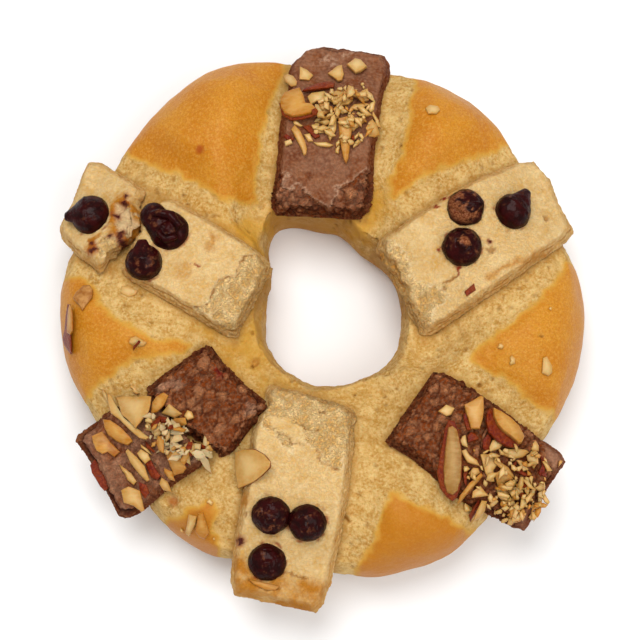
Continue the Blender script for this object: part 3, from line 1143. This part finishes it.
def speck_shares(slab, x, y):
    """1 on a slab's chocolate specks, and 1 on them and the smears about them."""
    choc, smear = np.zeros(len(x)), np.zeros(len(x))
    for size, *words in rows_of(SPECKS, slab.name):
        size = float(size)
        for spot in outline(words):
            reach = np.hypot(x - spot[0], y - spot[1])
            choc = np.maximum(choc, 1.0 - ramp(reach, 0.6 * size, 1.0 * size))
            smear = np.maximum(smear, 1.0 - ramp(reach, 0.8 * size, 2.1 * size))
    return choc, smear


def halo_shares(slab, points, x, y, seed):
    """1 on the stains that chocolate has left round a slab's drops."""
    halo = np.zeros(len(x))
    for drop in DROPS:
        if drop.slab == slab.name:
            ring = np.hypot(x - drop.x, y - drop.y) + 0.35 * waves(points, 1.5, 2, seed + 12)
            halo = np.maximum(halo, 1.0 - ramp(np.abs(ring - drop.radius - 0.1), 0.1, 0.8))
    return halo * ramp(waves(points, 3.5, 2, seed + 13), -0.1, 0.7)


def torn_shift(slab, distance, across, level, seed):
    """How far a slab's torn end is moved along x and y to become ragged."""
    end, skew = (slab.start, slab.start_skew) if slab.torn < 0 else (slab.end, slab.end_skew)
    inset = (end + 0.5 * skew * across / SLAB_HALF_WIDTH - distance) * slab.torn
    pull = 1.0 - ramp(inset, 0.5, 5.0)
    drawn = np.stack([across, level * 3.0, 0.0 * level], axis=1)
    shift = pull * (1.1 * waves(drawn, 3.0, 3, seed + 11) - 0.3)
    return shift[:, None] * (slab_axes(slab)[0] * slab.torn)


def build_slab(slab, materials):
    """A slab with its crust, crumb, cracks, stains and layered sides."""
    points, normals, faces = remeshed(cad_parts[slab.name].data.copy(), SLAB_VOXEL)
    points = smoothed(points, faces, 2)
    seed = int(abs(slab.angle))
    x, y, z = points.T
    level = (z - slab_underside(slab, slab_local(slab, x, y)[0])) / slab.thickness
    x, y = tugged(slab, x, y)
    distance, across = slab_local(slab, x, y)
    z = slab_underside(slab, distance) + level * slab.thickness
    points = np.stack([x, y, z], axis=1)
    top = ramp(normals[:, 2], 0.3, 0.7)
    under = ramp(-normals[:, 2], 0.2, 0.6)
    side = (1.0 - top) * (1.0 - under)
    warp_x = 0.8 * waves(points, 3.0, 4, seed + 1, 0.6)
    warp_y = 0.8 * waves(points, 3.0, 4, seed + 2, 0.6)
    depths = patch_depths(slab, x + warp_x, y + warp_y)
    none = np.full(len(x), FAR_OUTSIDE)

    def patch(kind, low, high):
        return ramp(depths.get(kind, none), low, high)

    rough = np.maximum(patch("rough", -0.2, 0.3), slab.lumpy)
    rough *= 1.0 - patch("crust", -0.3, 0.3)
    lumpy, lump, gaps = open_crumb_shape(slab, points, warp_x, warp_y, seed)
    push = 0.22 * waves(points, 9.0, 2, seed + 5) + 0.05 * waves(points, 2.5, 2, seed + 6)
    push += rough * lumpy
    cavity = patch("cavity", -0.3, 0.8)
    push -= top * cavity * (1.8 + 0.9 * waves(points, 3.0, 3, seed + 7))
    pit = patch("pit", -0.4, 0.3)
    push -= 0.8 * pit * top
    crack = crack_shares(slab, x + 0.8 * warp_x, y + 0.8 * warp_y)
    crack *= 0.5 + 0.5 * ramp(waves(points, 2.5, 2, seed + 14), -0.4, 0.3)
    push -= 0.45 * crack * top
    choc, smear = speck_shares(slab, x + 0.7 * warp_x, y + 0.7 * warp_y)
    push += 0.25 * choc
    wander = level + 0.10 * waves(points, 7.0, 2, seed + 8)
    line = np.max([strength * (1.0 - ramp(np.abs(wander - height), 0.02, 0.08))
                   for height, strength in LAYER_LINES], axis=0)
    line *= side * ramp(waves(points, 5.0, 3, seed + 10), -0.25, 0.35)
    push += side * (0.28 * waves(points, 3.0, 4, seed + 9, 0.6) - 0.3 * line)
    split = side * (1.0 - ramp(np.abs(wander - 0.5), 0.1, 0.24))
    split *= ramp(distance, SPLIT_START, SPLIT_END) * (slab.name == SPLIT_SLAB)
    push -= 1.4 * split
    push *= 1.0 - under
    points = points + normals * push[:, None]
    if slab.torn:
        points[:, :2] += torn_shift(slab, distance, across, level, seed)
    rough_depth = depths.get("rough", none)
    edge = ramp(-rough_depth, -0.1, 0.1) * (1.0 - ramp(-rough_depth, 0.25, 0.7))
    edge *= 0.75 if slab.colour == "cocoa" else 0.4
    edge = np.max([edge, 0.45 * patch("pale", -0.3, 0.4), 0.35 * patch("edge", -0.8, 0.8)], axis=0)
    bloom = np.maximum(patch("bloom", -1.2, 1.0) * ramp(waves(points, 1.6, 3, 3), -0.4, 0.5),
                       slab.dust * ramp(waves(points, 5.0, 4, 5), -0.7, 0.6))
    halo = halo_shares(slab, points, x, y, seed)
    stain = [patch("stain", -0.25, 0.25), 0.8 * halo, 0.9 * patch("red", -0.8, 0.8), 0.6 * smear]
    rim = 1.3 * patch("cavity", -1.6, -0.3) * (1.0 - patch("cavity", 0.0, 0.9))
    browned = [patch("browned", -1.5, 1.5), rim, 1.7 * patch("caramel", -0.9, 0.6)]
    cracked = [0.85 * crack * top, 0.6 * pit * top, split, 0.55 * (rough * gaps)]
    masks = {
        "rough": rough,
        "lump": lump,
        "side": side,
        "line": line,
        "browned": np.max(browned, axis=0),
        "light": np.clip(edge * top + bloom * top, 0.0, 1.0),
        "stain": np.max(stain, axis=0) * (1.0 - under),
        "crack": np.max(cracked, axis=0),
        "choc": choc * (1.0 - under),
        "flesh": 0.85 * ramp(cavity, 0.2, 0.8) * (1.0 - under),
    }
    piece = make_piece(slab.name.replace("slab", "paste"), points, faces,
                       [materials[slab.colour]], masks)
    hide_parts(slab.name)
    return points, faces


# ------------------------------------------------ chocolate drops
DROP_VOXEL = 0.3
DROP_SIDES = 40
DROP_SINK = 0.5
TIP_RADIUS = 1.25
TIP_ROOT = 0.55
TIP_FLATTENING = 0.42
UPRIGHT_LEAN = 5.0
# Share of the radius and share of the height at each ring of a drop, base to tip.
DROP_PROFILE = np.array((
    (0.88, 0.0), (0.99, 0.1), (1.0, 0.26), (0.95, 0.44), (0.84, 0.62),
    (0.66, 0.78), (0.46, 0.89), (0.24, 0.97), (0.0, 1.0),
))
# The drop that has melted and curled: the rounds it has run into, and its curl's path and sizes.
CURLED_DROP = "drop_upper_left_2"
CURL_ROUNDS = (((-4.6, 4.4), 4.0, 4.6), ((-2.6, 2.2), 4.4, 4.4))
CURL_PATH = (
    (-5.5, 4.0, 3.8), (-2.6, 4.3, 4.6), (1.2, 3.4, 4.6), (3.4, 0.4, 4.3),
    (2.4, -2.8, 4.0), (-0.8, -3.6, 4.0), (-2.6, -1.6, 4.2), (-1.2, 0.6, 4.4),
)
CURL_SIZES = (0.9, 1.3, 1.4, 1.3, 1.2, 1.1, 0.9, 0.5)
STREAKED_DROP = "drop_upper_right_2"
SMEARED_DROP = "drop_upper_right_1"


def surface_frame(slab, x, y):
    """Axes and place of a frame on a slab's upper side, whose third axis is its normal."""
    step = 2.0

    def height(at_x, at_y):
        return float(slab_top(slab, np.array([at_x]), np.array([at_y]))[0])

    slope_x = (height(x + step, y) - height(x - step, y)) / (2.0 * step)
    slope_y = (height(x, y + step) - height(x, y - step)) / (2.0 * step)
    normal = Vector((-slope_x, -slope_y, 1.0)).normalized()
    turn = Vector(UP).rotation_difference(normal).to_matrix().to_4x4()
    placed = np.array(Matrix.Translation((x, y, height(x, y))) @ turn)
    return placed[:3, :3], placed[:3, 3]


def band(low, high, count):
    """Faces between two rings of points, from the numbers of their first points."""
    steps = [(i, (i + 1) % count) for i in range(count)]
    return [(low + i, low + j, high + j, high + i) for i, j in steps]


def tube(path, sizes, level_rings=False):
    """Points and faces of a closed tube along a path."""
    path = np.array(path, float)
    turn = np.arange(DROP_SIDES) * (TURN / DROP_SIDES)
    points, faces = [], []
    for k, (middle, run, size) in enumerate(zip(path, np.gradient(path, axis=0), sizes)):
        run = np.array(UP) if level_rings else run / np.linalg.norm(run)
        first = np.cross(run, (0.31, 0.95, 0.05))
        first /= np.linalg.norm(first)
        second = np.cross(run, first)
        points += (middle + size * (np.outer(np.cos(turn), first)
                                    + np.outer(np.sin(turn), second))).tolist()
        if k:
            faces += band((k - 1) * DROP_SIDES, k * DROP_SIDES, DROP_SIDES)
    faces.append(tuple(range(DROP_SIDES))[::-1])
    faces.append(tuple(range((len(path) - 1) * DROP_SIDES, len(path) * DROP_SIDES)))
    return points, faces


def blob(centre, radius, height):
    """Points and faces of a drop's round body, in its own frame."""
    levels = np.linspace(0.0, 1.0, 22)
    shares = np.interp(levels, DROP_PROFILE[:, 1], DROP_PROFILE[:, 0])
    path = [(*centre, height * level) for level in levels]
    return tube(path, radius * np.maximum(shares, 0.02), level_rings=True)


def horn(drop):
    """A drop's tip: a nub, or a cone that leans over towards its heading."""
    heading = math.radians(drop.heading)
    bent = min(drop.lean / UPRIGHT_LEAN, 1.0)
    share = np.linspace(0.0, 1.0, 12)
    reach = drop.lean * share
    rise = drop.height * (TIP_ROOT + (0.5 - TIP_FLATTENING * bent) * share)
    sizes = drop.radius * (0.5 + 0.36 * bent) * (1.0 - share) + TIP_RADIUS * share
    path = np.stack([math.cos(heading) * reach, math.sin(heading) * reach, rise], axis=1)
    points, faces = tube(path, sizes)
    root = TIP_ROOT * drop.height
    flat = 1.0 - TIP_FLATTENING * bent
    return [(a, b, root + (c - root) * flat) for a, b, c in points], faces


def scuffs(drop, number, points, height):
    """How rubbed a drop's surface is."""
    rub = ramp(waves(points + 5.0 * number, 1.8, 4, 42), 0.35 - 0.4 * drop.scuff, 0.65)
    rub *= ramp(waves(points + 7.0 * number, 4.0, 2, 43), -0.2 - 0.4 * drop.scuff, 0.4)
    rub *= (0.12 + 0.88 * drop.scuff) * ramp(height, 0.25, 0.8)
    x, y, _ = points.T
    if drop.name == STREAKED_DROP:
        streak = np.hypot(x - 0.6, (y - 0.8) * 0.8) + 0.8 * waves(points, 1.6, 3, 46)
        rub = np.maximum(rub, 1.0 - ramp(streak, 0.9, 1.7))
    if drop.name == SMEARED_DROP:
        smeared = ramp(waves(points, 3.8, 4, 48) - 0.12 * (x + y), 0.1, 0.4)
        rub = np.maximum(rub, 0.85 * smeared * ramp(height, 0.2, 0.6))
    return rub


def build_drop(drop, number, material):
    """A drop with a curled or melted tip, a soft skirt and scuffs."""
    parts = [blob((0.0, 0.0), drop.radius, drop.height - 0.4), horn(drop)]
    if drop.name == CURLED_DROP:
        parts += [blob(*sizes) for sizes in CURL_ROUNDS] + [tube(CURL_PATH, CURL_SIZES)]
    points, faces = joined(parts)
    mesh = bpy.data.meshes.new("drop")
    mesh.from_pydata((np.array(points) * MM).tolist(), [], faces)
    points, normals, faces = remeshed(mesh, DROP_VOXEL)
    points = smoothed(points + CENTRE, faces, 3)
    x, y, z = points.T
    spread = np.hypot(x, y) / drop.radius
    height = z / drop.height
    plain = drop.lean > UPRIGHT_LEAN or drop.name == CURLED_DROP
    push = (0.18 if plain else 0.3) * waves(points + 9.0 * number, 4.5, 3, 41)
    ridge = np.abs(waves(points + 9.0 * number, 3.2, 2, 47))
    push -= (0.06 if plain else 0.22) * (1.0 - ramp(ridge, 0.0, 0.12)) * ramp(height, 0.3, 0.6)
    push += 0.25 * (1.0 - ramp(np.abs(spread - 0.98), 0.0, 0.16)) * (1.0 - ramp(z, 0.4, 1.3))
    if drop.name == SMEARED_DROP:
        split = np.abs(y + 0.45 * x + 3.2 + 0.6 * waves(points, 2.0, 2, 44))
        push -= 0.5 * (1.0 - ramp(split, 0.1, 0.8)) * ramp(height, 0.2, 0.5)
        push += 0.3 * waves(points, 2.4, 2, 45) * ramp(height, 0.2, 0.6)
    rub = scuffs(drop, number, points, height)
    points = points + normals * (push * ramp(z, 0.0, 0.6))[:, None]
    axes, place = surface_frame(SLAB_OF[drop.slab], drop.x, drop.y)
    points = points @ axes.T + place
    points[:, 2] -= DROP_SINK
    piece = make_piece(drop.name.replace("drop", "chocolate"), points, faces, [material],
                       {"rub": rub})
    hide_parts(drop.name)
    return points, faces


# ------------------------------------------------ almonds and crumbs
CELL = 0.35
RAY_START = 90.0
STEEPEST = 0.9
STEEPEST_AT_RIM = 2.4
SHARP_ANGLE = 42.0
EDGE_STEP = 0.9
RIPPLE = 0.07
DOMING = 1.06
CHIP_SEED = 7
CHIP_TILT = 0.06
CHIP_SINK = 0.15
CREAM_SINK = 0.3
SKIN_OVERLAP = 0.35
CRUMB_SIZES = (0.32, 1.0)
CRUMB_THICKNESSES = (0.5, 1.2)
CRUMB_TILT = 0.45
CRUMB_SINK = 0.1
# The shares of crumbs that are skin, and that are skin or gold.
CRUMB_SKIN_SHARE, CRUMB_GOLD_SHARE = 0.05, 0.25
CHIP_MATERIALS = ("flesh", "skin", "skinpale", "cocoa")
# The range of each kind's tone, from -0.2, which is white, through pale to 1, which is toasted.
TONES = {
    "white": (-0.2, 0.05), "pale": (0.0, 0.25), "flesh": (0.35, 0.6), "gold": (0.75, 1.0),
    "cream": (0.3, 0.5), "caramel": (0.9, 1.0), "dull": (0.3, 0.4), "skin": (0.5, 0.5),
    "skinpale": (0.5, 0.5), "cocoa": (0.5, 0.5),
}
# Share of the inset and share of the thickness at each ring of a chip, bottom to top.
CHIP_PROFILE = ((1.0, 0.0), (0.25, 0.14), (0.0, 0.4), (0.05, 0.72), (0.45, 0.93), (1.0, 1.0))
# Corners of the small chips, as shares of the length and the width.
SHARD_SHAPES = (
    ((-0.5, -0.1), (0.1, -0.5), (0.5, -0.3), (0.42, 0.35), (0.0, 0.5)),
    ((-0.5, -0.35), (0.35, -0.5), (0.5, 0.3), (-0.35, 0.5)),
    ((-0.5, 0.1), (-0.1, -0.5), (0.5, -0.15), (0.35, 0.4), (-0.2, 0.5)),
    ((-0.5, -0.3), (0.0, -0.5), (0.5, -0.2), (0.35, 0.2), (0.05, 0.15), (-0.1, 0.5), (-0.4, 0.35)),
    ((-0.5, -0.4), (0.5, -0.45), (0.4, 0.05), (0.1, 0.5), (-0.35, 0.25)),
)
# A flap of almond skin in a slab's broken end, and its level as a share of the thickness.
FLAP = "-68.4,-47.6 -67.8,-49.8 -65.3,-53.8 -64,-55.2 -61.5,-53.4 -64.5,-49 -67,-45.6"
FLAP_LEVEL = 0.35
FLAP_THICKNESS = 0.7


class Heap:
    """Lays pieces on what is already there, and keeps the height of the pile."""

    def __init__(self, parts):
        self.tree = BVHTree.FromPolygons(*joined(parts))
        self.heights = {}

    def height(self, key):
        """Height of the pile at a cell, or None where there is nothing."""
        if key not in self.heights:
            spot = (key[0] * CELL, key[1] * CELL, RAY_START)
            hit = self.tree.ray_cast(spot, (0.0, 0.0, -1.0))[0]
            self.heights[key] = hit.z if hit else None
        return self.heights[key]

    def cells_under(self, points):
        """The cells inside an outline that have something to lie on."""
        low = np.floor(points.min(axis=0) / CELL).astype(int)
        high = np.ceil(points.max(axis=0) / CELL).astype(int)
        across, up = np.meshgrid(np.arange(low[0], high[0] + 1), np.arange(low[1], high[1] + 1))
        across, up = across.ravel(), up.ravel()
        within = inside(across * CELL, up * CELL, points) > -0.1
        return [key for key in zip(across[within].tolist(), up[within].tolist())
                if self.height(key) is not None]

    def rest(self, points, plane, thickness):
        """Raises the pile by a piece that lies on a plane."""
        for key in self.cells_under(points):
            level = plane[0] * key[0] * CELL + plane[1] * key[1] * CELL + plane[2] + thickness
            self.heights[key] = max(self.heights[key], float(level))

    def lay(self, points, thickness, sink, tilt, steepest=STEEPEST):
        """A plane (slope x, slope y, height at 0, 0) that a piece rests on."""
        keys = self.cells_under(points)
        if len(keys) < 3:
            return None
        spots = np.array([(a * CELL, b * CELL, 1.0) for a, b in keys])
        heights = np.array([self.height(key) for key in keys])
        middle = points.mean(axis=0)
        local = spots - (*middle, 0.0)
        plane = np.linalg.lstsq(local.T @ local + np.diag((4.0, 4.0, 0.0)), local.T @ heights,
                                rcond=None)[0]
        plane[:2] = np.clip(plane[:2] + tilt, -steepest, steepest)
        plane[2] += np.percentile(heights - local @ plane, 85) - sink
        plane[2] -= plane[0] * middle[0] + plane[1] * middle[1]
        self.rest(points, plane, thickness)
        return plane


def doubled_area(points):
    """Twice the area of an outline, negative if it runs clockwise."""
    return np.sum(np.cross(points, np.roll(points, -1, axis=0)))


def densified(points):
    """An outline with points added so that they are about a step apart."""
    dense = []
    for first, second in zip(points, np.roll(points, -1, axis=0)):
        parts = max(1, int(np.linalg.norm(second - first) / EDGE_STEP))
        dense += [first + (second - first) * k / parts for k in range(parts)]
    return np.array(dense)


def unit(runs):
    """Steps with a length of 1."""
    return runs / np.maximum(np.linalg.norm(runs, axis=1), 1e-6)[:, None]


class Chips:
    """Chips that become one piece."""

    def __init__(self):
        self.points, self.faces, self.kinds = [], [], []
        self.masks = {name: [] for name in ("tone", "edge", "core", "caramel", "dull")}

    def add(self, points, kind, thickness, plane, tone, seed):
        """A flat chip with eased edges, from its outline."""
        if doubled_area(points) < 0.0:
            points = points[::-1]
        dense = densified(points)
        count = len(dense)
        ripple = waves(np.column_stack([dense, np.full(count, seed)]), 1.3, 2, 51)
        run = unit(unit(dense - np.roll(dense, 1, axis=0))
                   + unit(np.roll(dense, -1, axis=0) - dense))
        inward = np.stack([-run[:, 1], run[:, 0]], axis=1)
        area = 0.5 * abs(doubled_area(dense))
        ease = min(0.3, 0.16 * math.sqrt(area), 0.35 * thickness)
        dense = dense + inward * (RIPPLE * ripple)[:, None]
        start = len(self.points)
        for inset, level in CHIP_PROFILE:
            ring = dense + inward * (inset * ease)
            lift = thickness * level
            if level > 0.5:
                lift = lift + 0.08 * ripple
            height = ring @ plane[:2] + plane[2] + lift
            self.points += np.column_stack([ring, height]).tolist()
            self.masks["edge"] += [1.0 - 0.9 * max(level - 0.5, 0.0) * 2.0] * count
        centre = dense.mean(axis=0)
        top = float(centre @ plane[:2] + plane[2] + thickness * DOMING)
        self.points.append((*centre, top))
        self.masks["edge"].append(0.0)
        middle = len(self.points) - 1
        rings = range(start, middle, count)
        faces = [face for low in rings[:-1] for face in band(low, low + count, count)]
        faces.append(tuple(range(start, start + count))[::-1])
        faces += [(rings[-1] + i, rings[-1] + (i + 1) % count, middle) for i in range(count)]
        self.faces += faces
        material = kind if kind in CHIP_MATERIALS else "flesh"
        self.kinds += [CHIP_MATERIALS.index(material)] * len(faces)
        self.masks["core"] += [0.0] * (middle - start) + [1.0]
        same = {"tone": tone, "caramel": kind == "caramel", "dull": kind == "dull"}
        for name, value in same.items():
            self.masks[name] += [float(value)] * (middle + 1 - start)

    def build(self, name, materials):
        """The piece, with sharp edges where its faces turn by more than an angle."""
        piece = make_piece(name, self.points, self.faces, materials, self.masks)
        piece.data.polygons.foreach_set("material_index", self.kinds)
        piece.data.set_sharp_from_angle(angle=math.radians(SHARP_ANGLE))
        return piece


def turned(along, across, turn):
    """A step along and across a heading, as a step along x and y."""
    return (along * math.cos(turn) - across * math.sin(turn),
            along * math.sin(turn) + across * math.cos(turn))


def shard(x, y, length, width, heading, number):
    """A small chip's outline, with its corners moved a little at random."""
    draw = random.Random(number)
    points = []
    for along, across in draw.choice(SHARD_SHAPES):
        a = (along + draw.uniform(-0.08, 0.08)) * length
        b = (across + draw.uniform(-0.1, 0.1)) * width
        step = turned(a, b, math.radians(heading))
        points.append((x + step[0], y + step[1]))
    return np.array(points)


def random_outline(draw, size):
    """A small angular outline about the origin."""
    corners = draw.randint(4, 6)
    stretch = draw.uniform(0.9, 2.6)
    turn = draw.uniform(0.0, TURN)
    points = []
    for k in range(corners):
        angle = TURN * (k + draw.uniform(-0.3, 0.3)) / corners
        reach = size * draw.uniform(0.7, 1.15)
        points.append(turned(reach * math.cos(angle) * stretch, reach * math.sin(angle), turn))
    return np.array(points)


def random_tilt(draw, most):
    """Slopes along x and y by which a piece lies askew."""
    return np.array((draw.uniform(-most, most), draw.uniform(-most, most)))


def chip_rows():
    """Each chip's piece, kind, thickness and outline, in the order in which they are laid."""
    rows = []
    for name, (kind, thickness, *words) in table_rows(CHIPS):
        shapes = outline(words)
        small = shapes.shape[1] > 2
        for shape in (shapes if small else [shapes]):
            points = shard(*shape, len(rows)) if small else shape
            rows.append((name, kind, float(thickness), points))
    return rows


def lay_chips(heap, groups):
    """Lays the chips one by one; a part of an almond that has skin lies on its skin."""
    draw = random.Random(CHIP_SEED)
    skin = None
    for number, (name, kind, thickness, points) in enumerate(chip_rows()):
        tilt = random_tilt(draw, CHIP_TILT)
        if skin and skin[0] == name and name.startswith("almond"):
            plane = skin[1] + (0.0, 0.0, SKIN_OVERLAP * skin[2])
            heap.rest(points, plane, thickness)
        else:
            at_rim = name in ("almond_rim_stick", "nut_bits_ring")
            sink = CREAM_SINK if kind == "cream" else CHIP_SINK
            plane = heap.lay(points, thickness, sink, tilt,
                             STEEPEST_AT_RIM if at_rim else STEEPEST)
        skin = (name, plane, thickness) if kind == "skin" else None
        group = groups.setdefault(name, Chips())
        group.add(points, kind, thickness, plane, draw.uniform(*TONES[kind]), number)


def lay_flap(group):
    """A piece of almond skin that sticks out of the lower left slab's broken end."""
    slab = SLAB_OF[SPLIT_SLAB]
    points = outline(FLAP.split())
    distance = slab_local(slab, points[:, 0], points[:, 1])[0]
    heights = slab_underside(slab, distance) + FLAP_LEVEL * slab.thickness
    spots = np.column_stack([points, np.ones(len(points))])
    plane = np.linalg.lstsq(spots, heights, rcond=None)[0]
    group.add(points, "skin", FLAP_THICKNESS, plane, 0.5, 3)


def lay_crumbs(heap, group, kinds, seed, count, largest, zone):
    """Drops a count of crumbs at random into a zone; kinds are those of skin, gold and the rest."""
    draw = random.Random(seed)
    low, high = zone.min(axis=0), zone.max(axis=0)
    made = 0
    while made < count:
        spot = np.array([draw.uniform(low[0], high[0]), draw.uniform(low[1], high[1])])
        if inside(spot[:1], spot[1:], zone)[0] < 0.0:
            continue
        made += 1
        size = draw.uniform(*CRUMB_SIZES) * largest
        points = random_outline(draw, size) + spot
        thickness = draw.uniform(*CRUMB_THICKNESSES)
        plane = heap.lay(points, thickness * 0.8, CRUMB_SINK, random_tilt(draw, CRUMB_TILT))
        pick = draw.random()
        kind = kinds[(pick >= CRUMB_SKIN_SHARE) + (pick >= CRUMB_GOLD_SHARE)]
        tone = draw.uniform(*TONES[kind])
        if plane is not None:
            group.add(points, kind, thickness, plane, tone, made)


def lay_toppings(heap):
    """The almond pieces that are laid one by one, then the crumbs about them."""
    groups = {}
    lay_chips(heap, groups)
    lay_flap(groups["nut_bits_left"])
    for name, (seed, count, largest, *words) in table_rows(CRUMB_ZONES):
        kinds = ("skin", "gold", "white" if name == "nut_bits_left" else "pale")
        lay_crumbs(heap, groups[name], kinds, int(seed), int(count), float(largest), outline(words))
    return groups


# ------------------------------------------------ the studio
FLOOR_HALF = 1.5
FLOOR_LEVEL = -0.0002
FLOOR_COLOUR = (0.93, 0.93, 0.93, 1.0)
SKY_STRENGTH = 0.5
# A lamp's place and size in metres, and its energy.
LAMPS = {
    "key": ((-0.12, 0.25, 0.95), 0.6, 6.2),
    "fill": ((0.4, -0.4, 0.9), 0.8, 4.6),
}
CAMERA_ELEVATION = 78.0
CAMERA_DISTANCE = 0.6
CAMERA_TARGET = (-0.57, 0.92, 20.0)
CAMERA_LENS = 112.5


def build_floor():
    """A pale floor."""
    mesh = bpy.data.meshes.new("floor")
    corners = ((-1, -1), (1, -1), (1, 1), (-1, 1))
    mesh.from_pydata([(a * FLOOR_HALF, b * FLOOR_HALF, FLOOR_LEVEL) for a, b in corners],
                     [], [(0, 1, 2, 3)])
    mesh.materials.append(Paint("floor", 0.8, Base_Color=FLOOR_COLOUR).material)
    floor = add_object("floor", mesh)


def build_lights(scene):
    """Soft light from above and all round."""
    world = bpy.data.worlds.new("studio")
    world.use_nodes = True
    background = world.node_tree.nodes["Background"]
    background.inputs["Color"].default_value = (1.0, 1.0, 1.0, 1.0)
    background.inputs["Strength"].default_value = SKY_STRENGTH
    scene.world = world
    for name, (place, size, energy) in LAMPS.items():
        light = bpy.data.lights.new(name, "AREA")
        light.shape = "DISK"
        light.size = size
        light.energy = energy
        lamp = add_object(name, light)
        lamp.location = place
        lamp.rotation_euler = (-Vector(place)).to_track_quat("-Z", "Y").to_euler()


def build_camera(scene):
    """A camera in front that looks steeply down."""
    elevation = math.radians(CAMERA_ELEVATION)
    back = Vector((0.0, -math.cos(elevation), math.sin(elevation)))
    up = Vector((0.0, math.sin(elevation), math.cos(elevation)))
    lens = bpy.data.cameras.new("camera")
    lens.lens = CAMERA_LENS
    lens.sensor_width = 36.0
    lens.clip_start = 0.01
    camera = add_object("camera", lens)
    turn = Matrix((Vector((1.0, 0.0, 0.0)), up, back)).transposed().to_4x4()
    place = Vector(CAMERA_TARGET) * MM + back * CAMERA_DISTANCE
    camera.matrix_world = Matrix.Translation(place) @ turn
    scene.camera = camera


def main():
    scene = bpy.context.scene
    scene.view_settings.view_transform = "Standard"
    scene.view_settings.look = "None"
    build_floor()
    build_lights(scene)
    build_camera(scene)
    pastes = {"cocoa": paste_material("cocoa_paste", COCOA),
              "cream": paste_material("cream_paste", CREAM)}
    chocolate = chocolate_material()
    parts = [build_ring()]
    parts += [build_slab(slab, pastes) for slab in SLABS]
    parts += [build_drop(drop, number, chocolate) for number, drop in enumerate(DROPS)]
    chip_materials = [almond_material(), skin_material(), rubbed_skin_material(), pastes["cocoa"]]
    for name, group in lay_toppings(Heap(parts)).items():
        piece = group.build(name.replace("almond", "nut"), chip_materials)
        if name.startswith("almond"):
            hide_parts(name)


main()
